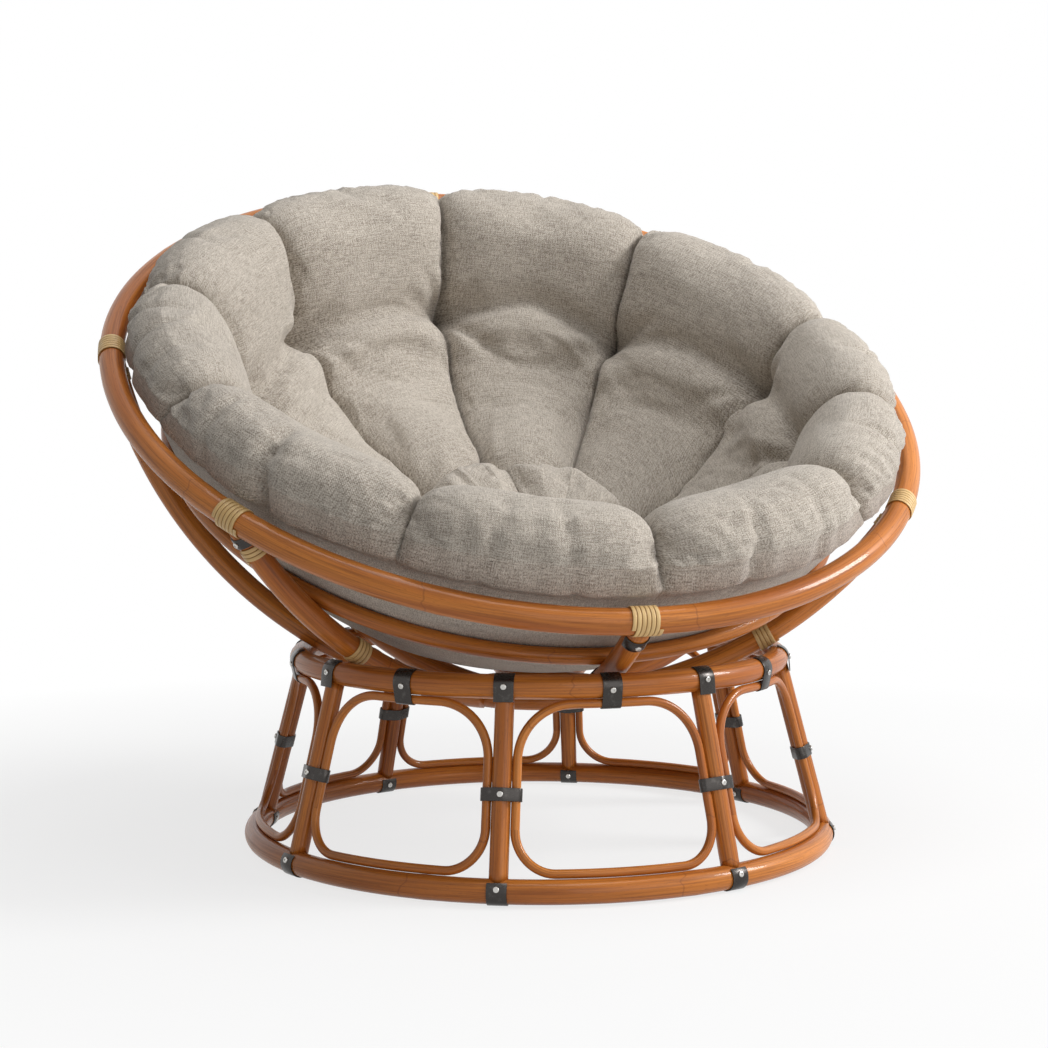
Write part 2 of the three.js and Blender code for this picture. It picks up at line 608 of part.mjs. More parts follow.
function tuftPull(row, spoke) {
  if (row.polar === null || row.channel === 0) return 0;
  const pitch = FULL_TURN / CHANNEL_COUNT;
  const offset = spoke - Math.round(spoke / pitch) * pitch;
  return [OUTER_TUFT_POLAR, INNER_TUFT_POLAR].reduce((sum, polar) => {
    const away = Math.hypot(innerRadius(polar) * (row.polar - polar), row.at.x * offset);
    return sum + TUFT_DEPTH * Math.exp(-((away / TUFT_SPREAD) ** 2));
  }, 0);
}

function cushionGeometry() {
  const spokes = Array.from({ length: CUSHION_SPOKES }, (_, j) => (FULL_TURN * j) / CUSHION_SPOKES);
  const rings = cushionRows().map((row) =>
    spokes.map((spoke) => {
      const point = row.at.clone().addScaledVector(row.out, cushionRelief(row, spoke));
      if (row.polar === null) point.y += ROLL_SLIP * Math.cos(spoke);
      return new THREE.Vector3(point.x * Math.sin(spoke), -point.x * Math.cos(spoke), point.y);
    }),
  );
  return loft(rings, false);
}

// The whole chair, moved so that the middle of its outer box on the floor is the origin.
function buildChair() {
  const bowl = buildBowl();
  bowl.add(makeMesh("cushion", cushionGeometry(), "fabric"));
  bowl.position.z = BOWL_CENTRE_HEIGHT;
  bowl.rotation.x = REST_TILT;
  const chair = new THREE.Group();
  chair.add(buildBase(), bowl);
  const box = new THREE.Box3().setFromObject(chair, true);
  const middle = box.getCenter(new THREE.Vector3());
  chair.position.set(-middle.x, -middle.y, -box.min.z);
  return chair;
}

const chair = buildChair();
console.log(`least gap between the turns of a winding: ${leastWindingGap.toFixed(2)} mm`);

export default chair;
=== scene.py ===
"""A papasan chair in metres: a drum of bent cane, a tilted cane bowl and its tufted cushion."""
import json
import logging
import math
import random
from dataclasses import dataclass, field
from enum import Enum
from typing import Sequence

import bmesh
import bpy
import numpy as np
from mathutils import Matrix, Vector, noise


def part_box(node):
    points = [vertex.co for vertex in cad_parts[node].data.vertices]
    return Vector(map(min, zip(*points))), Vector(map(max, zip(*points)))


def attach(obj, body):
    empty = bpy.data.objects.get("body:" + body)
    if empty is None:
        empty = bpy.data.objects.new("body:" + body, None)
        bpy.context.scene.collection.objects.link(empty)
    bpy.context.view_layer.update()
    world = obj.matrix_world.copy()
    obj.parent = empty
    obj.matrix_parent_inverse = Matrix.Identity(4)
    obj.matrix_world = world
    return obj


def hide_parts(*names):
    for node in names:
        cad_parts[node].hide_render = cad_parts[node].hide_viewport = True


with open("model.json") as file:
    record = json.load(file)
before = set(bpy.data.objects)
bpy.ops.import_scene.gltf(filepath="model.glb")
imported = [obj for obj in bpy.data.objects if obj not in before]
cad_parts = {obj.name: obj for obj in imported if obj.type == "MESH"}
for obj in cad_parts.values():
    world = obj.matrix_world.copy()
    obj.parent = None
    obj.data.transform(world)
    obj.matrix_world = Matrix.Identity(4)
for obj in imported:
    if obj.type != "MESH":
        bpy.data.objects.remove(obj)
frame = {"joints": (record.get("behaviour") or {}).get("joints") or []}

LOG = logging.getLogger("papasan_chair")
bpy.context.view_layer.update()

MM = 0.001
UP = Vector((0.0, 0.0, 1.0))
FULL_TURN = 2 * math.pi
RIGHT_ANGLE = math.pi / 2
CLEARANCE = 0.3 * MM
TINY = 1e-6
GRAIN = "grain"
WEAVE = "weave"
Triple = tuple[float, float, float]


class Body(Enum):
    """The moving groups of the chair, by their names in the record."""

    BASE = "base"
    BOWL = "bowl"
    CUSHION = "cushion"


class Slot(Enum):
    """The record's material slots."""

    CANE = "rattan"
    PEEL = "peel"
    STEEL = "strap"
    TWEED = "fabric"


def colour(red: int, green: int, blue: int) -> tuple[float, float, float, float]:
    """Turns a colour as a screen shows it, 0 to 255, into the linear one that a shader takes."""
    linear = [
        c / 12.92 if c <= 0.04045 else ((c + 0.055) / 1.055) ** 2.4
        for c in (red / 255, green / 255, blue / 255)
    ]
    return (*linear, 1.0)


# Finishes


class NodeBench:
    """A new material and the few steps that its node tree is made with."""

    def __init__(self, name: str) -> None:
        """Makes an empty material with one Principled shader.

        Args:
            name: The material's name.
        """
        self.material = bpy.data.materials.new(name)
        self.material.use_nodes = True
        self.tree = self.material.node_tree
        self.shader = self.tree.nodes["Principled BSDF"]

    def add(self, kind: str, **settings: object) -> bpy.types.Node:
        """Adds a node.

        Args:
            kind: The node's type name without its ShaderNode prefix.
            **settings: Properties of the node, or values of its input sockets.

        Returns:
            The new node.
        """
        node = self.tree.nodes.new("ShaderNode" + kind)
        for key, value in settings.items():
            if key in node.bl_rna.properties:
                setattr(node, key, value)
            else:
                node.inputs[key].default_value = value
        return node

    def join(self, source: bpy.types.NodeSocket, target: bpy.types.NodeSocket) -> None:
        """Links one socket to another."""
        self.tree.links.new(source, target)

    def grain(self, scale: Triple = (1.0, 1.0, 1.0)) -> bpy.types.NodeSocket:
        """Gives the coordinates that run along the cane, stretched.

        Args:
            scale: Cycles to the metre across the cane, in both directions, and along it.

        Returns:
            A vector socket.
        """
        source = self.add("Attribute", attribute_name=GRAIN)
        return self.stretched(source.outputs["Vector"], scale)

    def stretched(self, vector: bpy.types.NodeSocket, scale: Triple) -> bpy.types.NodeSocket:
        """Scales a vector socket."""
        mapping = self.add("Mapping")
        mapping.inputs["Scale"].default_value = scale
        self.join(vector, mapping.inputs["Vector"])
        return mapping.outputs["Vector"]

    def parts(self, vector: bpy.types.NodeSocket) -> bpy.types.NodeOutputs:
        """Splits a vector socket into its X, Y and Z."""
        node = self.add("SeparateXYZ")
        self.join(vector, node.inputs["Vector"])
        return node.outputs

    def noise(
        self,
        scale: Triple,
        detail: float = 2.0,
        roughness: float = 0.5,
        vector: bpy.types.NodeSocket | None = None,
    ) -> bpy.types.NodeSocket:
        """Adds a noise texture.

        Args:
            scale: Its cycles to the metre in three directions.
            detail: Its octaves.
            roughness: How strong the finer octaves are.
            vector: Where it is read. Without it, the noise follows the cane's grain.

        Returns:
            The noise as a value, about 0.5.
        """
        place = self.grain(scale) if vector is None else self.stretched(vector, scale)
        node = self.add("TexNoise", Scale=1.0, Detail=detail, Roughness=roughness)
        self.join(place, node.inputs["Vector"])
        return node.outputs["Fac"]

    def math(
        self,
        operation: str,
        first: bpy.types.NodeSocket,
        second: bpy.types.NodeSocket | float = 0.0,
    ) -> bpy.types.NodeSocket:
        """Adds a sum of one or two values.

        Args:
            operation: The Math node's operation.
            first: The first value.
            second: The second value, a socket or a number.

        Returns:
            The result.
        """
        node = self.add("Math", operation=operation)
        self.join(first, node.inputs[0])
        if isinstance(second, bpy.types.NodeSocket):
            self.join(second, node.inputs[1])
        else:
            node.inputs[1].default_value = second
        return node.outputs["Value"]

    def spread(
        self,
        value: bpy.types.NodeSocket,
        low: float,
        high: float,
        to_low: float = 0.0,
        to_high: float = 1.0,
    ) -> bpy.types.NodeSocket:
        """Maps a value from one range to another and holds it there.

        Args:
            value: The value.
            low: Start of its range.
            high: End of its range.
            to_low: What low becomes.
            to_high: What high becomes.

        Returns:
            The mapped value.
        """
        node = self.add("MapRange", clamp=True)
        self.join(value, node.inputs["Value"])
        keys = ("From Min", "From Max", "To Min", "To Max")
        for key, number in zip(keys, (low, high, to_low, to_high)):
            node.inputs[key].default_value = number
        return node.outputs["Result"]

    def mix(
        self,
        share: bpy.types.NodeSocket,
        first: bpy.types.NodeSocket | tuple,
        second: bpy.types.NodeSocket | tuple,
    ) -> bpy.types.NodeSocket:
        """Mixes two colours.

        Args:
            share: How much of the second colour shows.
            first: The first colour, a socket or four numbers.
            second: The second colour, a socket or four numbers.

        Returns:
            The mixed colour.
        """
        node = self.add("Mix", data_type="RGBA", blend_type="MIX")
        self.join(share, node.inputs[0])
        for socket, value in ((node.inputs[6], first), (node.inputs[7], second)):
            if isinstance(value, bpy.types.NodeSocket):
                self.join(value, socket)
            else:
                socket.default_value = value
        return node.outputs[2]

    def layer(
        self,
        under: bpy.types.NodeSocket | tuple,
        over: bpy.types.NodeSocket | tuple,
        value: bpy.types.NodeSocket,
        reach: tuple[float, float],
        share: float = 1.0,
    ) -> bpy.types.NodeSocket:
        """Lays one colour over another where a value is high.

        Args:
            under: The colour below.
            over: The colour on top.
            value: The value.
            reach: Where the top colour starts to show, and where it shows most.
            share: How much of it shows at most.

        Returns:
            The mixed colour.
        """
        return self.mix(self.spread(value, *reach, 0.0, share), under, over)

    def paint(self, tint: bpy.types.NodeSocket) -> None:
        """Colours the surface."""
        self.join(tint, self.shader.inputs["Base Color"])

    def bump(self, height: bpy.types.NodeSocket, depth: float, strength: float = 1.0) -> None:
        """Raises the surface by a height socket.

        Args:
            height: The relief, 0 to 1.
            depth: How high 1 is, in metres.
            strength: The Bump node's strength.
        """
        node = self.add("Bump", Strength=strength, Distance=depth)
        self.join(height, node.inputs["Height"])
        self.join(node.outputs["Normal"], self.shader.inputs["Normal"])

    def wear(self, **values: object) -> None:
        """Sets numbers and colours that are the same all over the surface."""
        for key, value in values.items():
            self.shader.inputs[key.replace("_", " ")].default_value = value


@dataclass(frozen=True)
class CaneFinish:
    """Stained and lacquered rattan: fine streaks, slow changes of tone and faint growth rings."""

    name: str = "cane_satin_lacquer"
    light: tuple = colour(210, 130, 52)
    middle: tuple = colour(168, 92, 30)
    dark: tuple = colour(100, 49, 17)
    streak_scale: Triple = (420.0, 420.0, 9.0)
    tone_scale: Triple = (45.0, 45.0, 2.6)
    pore_scale: Triple = (900.0, 900.0, 130.0)
    joint_pitch: float = 0.31
    joint_wander: float = 0.035
    wander_scale: Triple = (60.0, 60.0, 5.0)
    joint_line: float = 0.005
    joint_groove: float = 0.7
    relief: float = 0.25 * MM

    def make(self) -> bpy.types.Material:
        """Builds the material."""
        bench = NodeBench(self.name)
        streak = bench.noise(self.streak_scale, detail=4.0, roughness=0.62)
        tone = bench.noise(self.tone_scale)
        pore = bench.noise(self.pore_scale)
        ring = self.ring(bench)
        tint = bench.layer(self.middle, self.light, tone, (0.32, 0.68))
        tint = bench.layer(tint, self.dark, streak, (0.44, 0.72), 0.62)
        tint = bench.layer(tint, self.dark, ring, (0.0, 1.0), 0.42)
        bench.paint(bench.layer(tint, self.dark, pore, (0.62, 0.74), 0.35))
        bench.join(bench.spread(streak, 0.3, 0.75, 0.34, 0.5), bench.shader.inputs["Roughness"])
        groove = bench.spread(ring, 0.0, 1.0, 0.0, self.joint_groove)
        bench.bump(bench.math("SUBTRACT", streak, groove), self.relief, 0.35)
        bench.wear(Coat_Weight=0.3, Coat_Roughness=0.09, Specular_IOR_Level=0.2)
        return bench.material

    def ring(self, bench: NodeBench) -> bpy.types.NodeSocket:
        """Gives 1 on the thin line of a growth ring and 0 elsewhere."""
        along = bench.parts(bench.grain())["Z"]
        wander = bench.noise(self.wander_scale, detail=1.0)
        place = bench.math("MULTIPLY", wander, self.joint_wander)
        moved = bench.math("ADD", along, place)
        cycle = bench.math("FRACT", bench.math("DIVIDE", moved, self.joint_pitch))
        away = bench.math("ABSOLUTE", bench.math("SUBTRACT", cycle, 0.5))
        return bench.spread(away, 0.0, self.joint_line, 1.0, 0.0)


@dataclass(frozen=True)
class PeelFinish:
    """Natural cane peel: pale straw with fibres along the strip, darker at the strip's edges."""

    name: str = "peel_natural"
    light: tuple = colour(226, 194, 134)
    dark: tuple = colour(172, 128, 70)
    fibre_scale: Triple = (2600.0, 2600.0, 40.0)
    tone_scale: Triple = (60.0, 60.0, 22.0)
    half_width: float = 2.35 * MM
    edge_start: float = 0.7
    relief: float = 0.2 * MM

    def make(self) -> bpy.types.Material:
        """Builds the material."""
        bench = NodeBench(self.name)
        fibre = bench.noise(self.fibre_scale, detail=3.0, roughness=0.6)
        tone = bench.noise(self.tone_scale)
        away = bench.math("ABSOLUTE", bench.parts(bench.grain())["Y"])
        edge = (self.edge_start * self.half_width, self.half_width)
        tint = bench.layer(self.light, self.dark, fibre, (0.38, 0.7), 0.6)
        tint = bench.layer(tint, self.dark, tone, (0.35, 0.7), 0.3)
        bench.paint(bench.layer(tint, self.dark, away, edge, 0.75))
        bench.bump(fibre, self.relief, 0.5)
        bench.wear(Roughness=0.5, Coat_Weight=0.15, Coat_Roughness=0.3)
        return bench.material


@dataclass(frozen=True)
class SteelFinish:
    """Blackened or bright steel with a fine brushed grain and rubbed patches."""

    name: str = "steel_blackened"
    base: tuple = colour(66, 63, 61)
    rubbed: tuple = colour(98, 95, 92)
    roughness: float = 0.27
    less_rough: float = 0.06
    more_rough: float = 0.12
    brush_scale: Triple = (300.0, 300.0, 2400.0)
    patch_scale: Triple = (95.0, 95.0, 95.0)
    relief: float = 0.03 * MM

    def make(self) -> bpy.types.Material:
        """Builds the material."""
        bench = NodeBench(self.name)
        place = bench.add("TexCoord").outputs["Object"]
        brushed = bench.noise(self.brush_scale, detail=3.0, vector=place)
        patch = bench.noise(self.patch_scale, detail=4.0, roughness=0.65, vector=place)
        bench.paint(bench.layer(self.base, self.rubbed, patch, (0.56, 0.8)))
        low, high = self.roughness - self.less_rough, self.roughness + self.more_rough
        bench.join(bench.spread(brushed, 0.3, 0.7, low, high), bench.shader.inputs["Roughness"])
        bench.bump(brushed, self.relief, 0.4)
        bench.wear(Metallic=0.92)
        return bench.material


@dataclass(frozen=True)
class TweedFinish:
    """Heathered plain weave of pale and dark yarns that follow each panel of the cushion."""

    name: str = "tweed_heathered"
    pale: tuple = colour(208, 200, 188)
    middle: tuple = colour(166, 156, 144)
    dark: tuple = colour(112, 102, 91)
    thread: float = 1.35 * MM
    weft_length: float = 0.08
    warp_length: float = 0.12
    speck_size: float = 0.75
    slub_scale: Triple = (14.0, 190.0, 1.0)
    drift_scale: Triple = (7.0, 7.0, 1.0)
    yarn_share: float = 0.5
    weave_share: float = 0.35
    relief: float = 0.7 * MM

    def make(self) -> bpy.types.Material:
        """Builds the material."""
        bench = NodeBench(self.name)
        cloth = bench.add("UVMap", uv_map=WEAVE).outputs["UV"]
        tight = 1 / self.thread
        speckled = self.speck_size * tight
        weft = bench.noise((self.weft_length * tight, tight, 1.0), 1.5, vector=cloth)
        warp = bench.noise((tight, self.warp_length * tight, 1.0), 1.5, vector=cloth)
        speck = bench.noise((speckled, speckled, 1.0), roughness=0.7, vector=cloth)
        slub = bench.noise(self.slub_scale, vector=cloth)
        drift = bench.noise(self.drift_scale, vector=cloth)
        over = self.over(bench, cloth)
        yarn = bench.add("Mix", data_type="FLOAT")
        bench.join(bench.spread(over, -0.25, 0.25), yarn.inputs[0])
        bench.join(weft, yarn.inputs[2])
        bench.join(warp, yarn.inputs[3])
        fleck = bench.math("MULTIPLY", yarn.outputs[0], self.yarn_share)
        heather = bench.math("ADD", fleck, bench.math("MULTIPLY", speck, 1 - self.yarn_share))
        tint = bench.layer(self.middle, self.pale, heather, (0.47, 0.62))
        tint = bench.mix(bench.spread(heather, 0.38, 0.49, 0.85, 0.0), tint, self.dark)
        tint = bench.layer(tint, self.dark, slub, (0.55, 0.75), 0.28)
        bench.paint(bench.layer(tint, self.pale, drift, (0.35, 0.7), 0.16))
        relief = bench.math("ADD", bench.math("MULTIPLY", over, self.weave_share), heather)
        bench.bump(relief, self.relief, 0.5)
        bench.wear(Roughness=0.94, Sheen_Weight=0.22, Sheen_Roughness=0.55, Specular_IOR_Level=0.18)
        return bench.material

    def over(self, bench: NodeBench, cloth: bpy.types.NodeSocket) -> bpy.types.NodeSocket:
        """Gives the weave's relief, above 0 where the warp lies over the weft."""
        parts = bench.parts(cloth)
        step = math.pi / self.thread
        across, along = (bench.math("SINE", bench.math("MULTIPLY", parts[k], step)) for k in "XY")
        return bench.math("MULTIPLY", across, along)


@dataclass(frozen=True)
class ThreadFinish:
    """Dark sewing thread sunk in the cushion's edge seam, with a fine twist."""

    name: str = "seam_thread"
    light: tuple = colour(104, 95, 86)
    dark: tuple = colour(58, 51, 45)
    twist_scale: Triple = (700.0, 700.0, 520.0)
    relief: float = 0.2 * MM

    def make(self) -> bpy.types.Material:
        """Builds the material."""
        bench = NodeBench(self.name)
        twist = bench.noise(self.twist_scale)
        bench.paint(bench.layer(self.dark, self.light, twist, (0.4, 0.62)))
        bench.bump(twist, self.relief, 0.6)
        bench.wear(Roughness=0.9)
        return bench.material


@dataclass(frozen=True)
class Finishes:
    """The chair's finished materials, each made once."""

    cane: bpy.types.Material = field(default_factory=lambda: CaneFinish().make())
    peel: bpy.types.Material = field(default_factory=lambda: PeelFinish().make())
    strap: bpy.types.Material = field(default_factory=lambda: SteelFinish().make())
    screw: bpy.types.Material = field(
        default_factory=lambda: SteelFinish(
            "steel_zinc", colour(196, 194, 190), colour(226, 224, 220), 0.24
        ).make()
    )
    tweed: bpy.types.Material = field(default_factory=lambda: TweedFinish().make())
    thread: bpy.types.Material = field(default_factory=lambda: ThreadFinish().make())


# Routes that straight stock is bent along


class Route:
    """A line in space with two directions square to it at each distance along it."""

    length: float

    def at(self, run: float) -> tuple[Vector, Vector, Vector]:
        """Gives a place on the line.

        Args:
            run: The distance along the line.

        Returns:
            The point, the stock's first direction across it and its second.
        """
        raise NotImplementedError


@dataclass
class StraightRoute(Route):
    """A straight line from one point to another."""

    start: Vector
    end: Vector
    first: Vector

    def __post_init__(self) -> None:
        """Works out the length and the second direction."""
        self.length = (self.end - self.start).length
        self.along = (self.end - self.start).normalized()
        self.second = self.along.cross(self.first).normalized()

    def at(self, run: float) -> tuple[Vector, Vector, Vector]:
        """Gives a place on the line."""
        return self.start + self.along * run, self.first, self.second


@dataclass
class ArcRoute(Route):
    """An arc in a matrix's XY plane. Its first direction is outwards, its second the plane's Z."""

    plane: Matrix
    bend: float
    start: float
    end: float

    def __post_init__(self) -> None:
        """Works out the length."""
        self.length = self.bend * abs(self.end - self.start)

    def at(self, run: float) -> tuple[Vector, Vector, Vector]:
        """Gives a place on the arc."""
        angle = self.start + math.copysign(run / self.bend, self.end - self.start)
        outwards = Vector((math.cos(angle), math.sin(angle), 0.0))
        turned = self.plane.to_3x3()
        return self.plane @ (outwards * self.bend), turned @ outwards, turned @ UP


@dataclass(frozen=True)
class Turn:
    """A round stretch of a flat line: the arc's middle, its radius and its two angles."""

    x: float
    y: float
    radius: float
    start: float
    end: float

    def point(self, angle: float) -> Vector:
        """Gives the point at an angle."""
        x = self.x + self.radius * math.cos(angle)
        y = self.y + self.radius * math.sin(angle)
        return Vector((x, y, 0.0))


class FlatRoute(Route):
    """Arcs in a matrix's XY plane and the straights between. Its first direction is outwards."""

    def __init__(self, plane: Matrix, turns: Sequence[Turn], closed: bool = False) -> None:
        """Works out where each stretch starts.

        Args:
            plane: The plane that the line lies in.
            turns: The arcs in their order.
            closed: Whether the last arc joins the first.
        """
        self.plane = plane
        self.spans: list[tuple[float, Turn | None, Vector, Vector]] = []
        self.length = 0.0
        for i, turn in enumerate(turns):
            first, last = turn.point(turn.start), turn.point(turn.end)
            self.spans.append((self.length, turn, first, last))
            self.length += turn.radius * abs(turn.end - turn.start)
            if i + 1 < len(turns) or closed:
                onward = turns[(i + 1) % len(turns)]
                joint = onward.point(onward.start)
                self.spans.append((self.length, None, last, joint))
                self.length += (joint - last).length

    def flat(self, run: float) -> tuple[Vector, Vector]:
        """Gives a place on the line in its own plane.

        Args:
            run: The distance along the line.

        Returns:
            The point and the direction that points outwards.
        """
        index = max(i for i, span in enumerate(self.spans) if span[0] <= run + TINY * MM)
        begin, turn, first, last = self.spans[index]
        if turn is None:
            ahead = (last - first).normalized()
            before = self.spans[index - 1][1]
            out = before.point(before.end) - Vector((before.x, before.y, 0.0))
            return first + ahead * (run - begin), out.normalized()
        angle = turn.start + math.copysign((run - begin) / turn.radius, turn.end - turn.start)
        return turn.point(angle), Vector((math.cos(angle), math.sin(angle), 0.0))

    def at(self, run: float) -> tuple[Vector, Vector, Vector]:
        """Gives a place on the line."""
        point, out = self.flat(run)
        turned = self.plane.to_3x3()
        return self.plane @ point, turned @ out, turned @ UP


class ConeRoute(FlatRoute):
    """A closed flat line laid on the drum's cone: X runs along the drum and Y is the height."""

    def __init__(
        self, plane: Matrix, turns: Sequence[Turn], radius_at_floor: float, slope: float
    ) -> None:
        """Works out the line.

        Args:
            plane: The matrix that turns the front of the drum to the loop's place.
            turns: The arcs of the unrolled line.
            radius_at_floor: The cone's radius at height 0.
            slope: How much the radius shrinks for each metre of height.
        """
        super().__init__(plane, turns, closed=True)
        self.radius_at_floor = radius_at_floor
        self.slope = slope
        self.probe = 0.5 * MM

    def wrapped(self, run: float) -> Vector:
        """Gives the point on the cone, in front of the drum."""
        flat, _ = self.flat(run % self.length)
        radius = self.radius_at_floor - self.slope * flat.y
        around = flat.x / radius
        return Vector((radius * math.sin(around), -radius * math.cos(around), flat.y))

    def at(self, run: float) -> tuple[Vector, Vector, Vector]:
        """Gives a place on the line."""
        point = self.wrapped(run)
        ahead = (self.wrapped(run + self.probe) - self.wrapped(run - self.probe)).normalized()
        side = ahead.cross(Vector((point.x, point.y, 0.0)).normalized()).normalized()
        turned = self.plane.to_3x3()
        return self.plane @ point, turned @ side.cross(ahead), turned @ side


class RowRoute(Route):
    """A closed line through a row of points, for thread laid on the cushion."""

    def __init__(self, points: Sequence[Vector], normals: Sequence[Vector]) -> None:
        """Keeps the points.

        Args:
            points: The row of points, in order.
            normals: The way out of the cushion at each.
        """
        self.points = list(points)
        self.normals = list(normals)
        self.step = sum((b - a).length for a, b in zip(points, points[1:])) / (len(points) - 1)
        self.length = self.step * len(points)

    def at(self, run: float) -> tuple[Vector, Vector, Vector]:
        """Gives a place on the line."""
        count = len(self.points)
        place = run / self.step
        i = int(place) % count
        j = (i + 1) % count
        share = place - int(place)
        point = self.points[i].lerp(self.points[j], share)
        out = self.normals[i].lerp(self.normals[j], share).normalized()
        ahead = (self.points[j] - self.points[i]).normalized()
        return point, out, ahead.cross(out).normalized()


# Stock that is bent along a route


class Stock:
    """A straight length of cane, peel, band or thread along Z, which is then bent to its shape."""

    unevenness = 0.012
    uneven_per_metre = 6.0
    swelling = 0.022
    swelling_reach = 5 * MM
    weld = 0.02 * MM
    line_cell = 0.01 * MM

    def __init__(self) -> None:
        """Starts an empty mesh."""
        self.mesh = bmesh.new()
        self.closed = False

    @classmethod
    def pole(
        cls, length: float, radius: float, pitch: float, sides: int, closed: bool = False
    ) -> "Stock":
        """Draws a round pole.

        Args:
            length: The pole's length.
            radius: The pole's radius.
            pitch: The most that lies between two rings of its mesh.
            sides: How many sides the mesh has.
            closed: Whether its ends meet when it is bent.

        Returns:
            The straight pole.
        """
        stock = cls()
        stock.closed = closed
        bmesh.ops.create_circle(stock.mesh, segments=sides, radius=radius)
        return stock.drawn(length, pitch)

    @classmethod
    def band(
        cls,
        length: float,
        width: float,
        thickness: float,
        pitch: float,
        rounding: float,
        closed: bool = False,
    ) -> "Stock":
        """Draws a flat band with rounded corners: X is its thickness and Y its width.

        Args:
            length: The band's length.
            width: The band's width.
            thickness: The band's thickness.
            pitch: The most that lies between two rings of its mesh.
            rounding: The radius of its edges.
            closed: Whether its ends meet when it is bent.

        Returns:
            The straight band.
        """
        stock = cls()
        stock.closed = closed
        bmesh.ops.create_grid(stock.mesh, x_segments=1, y_segments=1, size=0.5)
        bmesh.ops.scale(stock.mesh, vec=(thickness, width, 1.0), verts=stock.mesh.verts[:])
        bmesh.ops.bevel(
            stock.mesh, geom=stock.mesh.verts[:], offset=rounding, segments=2,
            profile=0.5, affect="VERTICES", material=-1,
        )
        bmesh.ops.delete(stock.mesh, geom=stock.mesh.faces[:], context="FACES_ONLY")
        return stock.drawn(length, pitch)

    def drawn(self, length: float, pitch: float) -> "Stock":
        """Draws the outline out along Z."""
        steps = max(1, math.ceil(length / pitch))
        outline = self.mesh.verts[:] + self.mesh.edges[:]
        bmesh.ops.spin(
            self.mesh, geom=outline, cent=(0, 0, 0), axis=UP, dvec=(0, 0, length / steps),
            angle=0.0, space=Matrix.Identity(4), steps=steps, use_merge=False,
            use_normal_flip=False, use_duplicate=False,
        )
        if not self.closed:
            bmesh.ops.holes_fill(self.mesh, edges=self.mesh.edges[:], sides=0)
        return self

    def marked(self, offset: float) -> "Stock":
        """Writes each corner's straight coordinates, moved along by an offset, as the grain."""
        layer = self.mesh.loops.layers.float_vector.new(GRAIN)
        shift = Vector((0.0, 0.0, offset))
        for face in self.mesh.faces:
            for corner in face.loops:
                corner[layer] = corner.vert.co + shift
        return self

    def grown(self, radius: float, ring_pitch: float, seed: float) -> "Stock":
        """Gives a cane pole its slight unevenness and its swelling at each growth ring."""
        top = max(v.co.z for v in self.mesh.verts)
        for vert in self.mesh.verts:
            z = vert.co.z
            fade = min(1.0, z / radius, (top - z) / radius) if self.closed else 1.0
            wave = Vector((seed, 0.0, z * self.uneven_per_metre))
            uneven = self.unevenness * noise.noise(wave)
            away = (((z + seed) / ring_pitch) % 1.0 - 0.5) * ring_pitch
            swell = self.swelling * math.exp(-((away / self.swelling_reach) ** 2))
            vert.co.x *= 1 + fade * (uneven + swell)
            vert.co.y *= 1 + fade * (uneven + swell)
        return self

    def bent(self, route: Route, start: float = 0.0) -> "Stock":
        """Bends the stock along a route.

        Args:
            route: The line that it follows.
            start: Where on the line the stock's lower end lies.

        Returns:
            The stock itself.
        """
        for vert in self.mesh.verts:
            point, first, second = route.at(start + vert.co.z)
            vert.co = point + first * vert.co.x + second * vert.co.y
        if self.closed:
            bmesh.ops.remove_doubles(self.mesh, verts=self.mesh.verts[:], dist=self.weld)
        return self

    def wound(self, core_radius: float, pitch: float) -> "Stock":
        """Winds a band round a straight core along Z, with its outer face out."""
        for vert in self.mesh.verts:
            reach = core_radius + vert.co.x
            around = vert.co.z / core_radius
            rise = pitch * around / FULL_TURN
            vert.co = Vector((reach * math.cos(around), reach * math.sin(around), rise + vert.co.y))
        return self

    def coped(
        self, route: Route, start: float, low: "RingSurface | None", high: "RingSurface | None"
    ) -> "Stock":
        """Cuts each line of a pole's skin off where it would run into a ring's tube.

        Args:
            route: The line that the pole will follow.
            start: Where on the line the pole's lower end lies.
            low: The ring at its lower end, if any.
            high: The ring at its upper end, if any.

        Returns:
            The stock itself.
        """
        top = max(v.co.z for v in self.mesh.verts)
        cuts: dict[tuple[int, int], tuple[float, float]] = {}
        for vert in self.mesh.verts:
            key = (round(vert.co.x / self.line_cell), round(vert.co.y / self.line_cell))
            if key not in cuts:
                first = low.meets(route, start, vert.co, top / 2, 0.0) if low else 0.0
                last = high.meets(route, start, vert.co, top / 2, top) if high else top
                cuts[key] = (first, last)
            first, last = cuts[key]
            vert.co.z = first + (last - first) * vert.co.z / top
        return self


@dataclass(frozen=True)
class RingSurface:
    """The skin of a ring's tube, which other poles are coped to."""

    plane: Matrix
    radius: float
    tube: float

    def away(self, point: Vector) -> float:
        """Gives how far a point is from the skin, below 0 inside it."""
        local = self.plane.inverted() @ point
        return math.hypot(math.hypot(local.x, local.y) - self.radius, local.z) - self.tube

    def meets(
        self, route: Route, start: float, offset: Vector, clear: float, inside: float
    ) -> float:
        """Finds where a line of a pole's skin reaches the ring.

        Args:
            route: The line that the pole will follow.
            start: Where on the line the pole's lower end lies.
            offset: The skin line's place across the pole, in X and Y.
            clear: A place along the pole that is clear of the ring.
            inside: A place along the pole that is inside the ring.

        Returns:
            The place along the pole.
        """
        for _ in range(24):
            middle = (clear + inside) / 2
            point, first, second = route.at(start + middle)
            if self.away(point + first * offset.x + second * offset.y) > 0:
                clear = middle
            else:
                inside = middle
        return clear


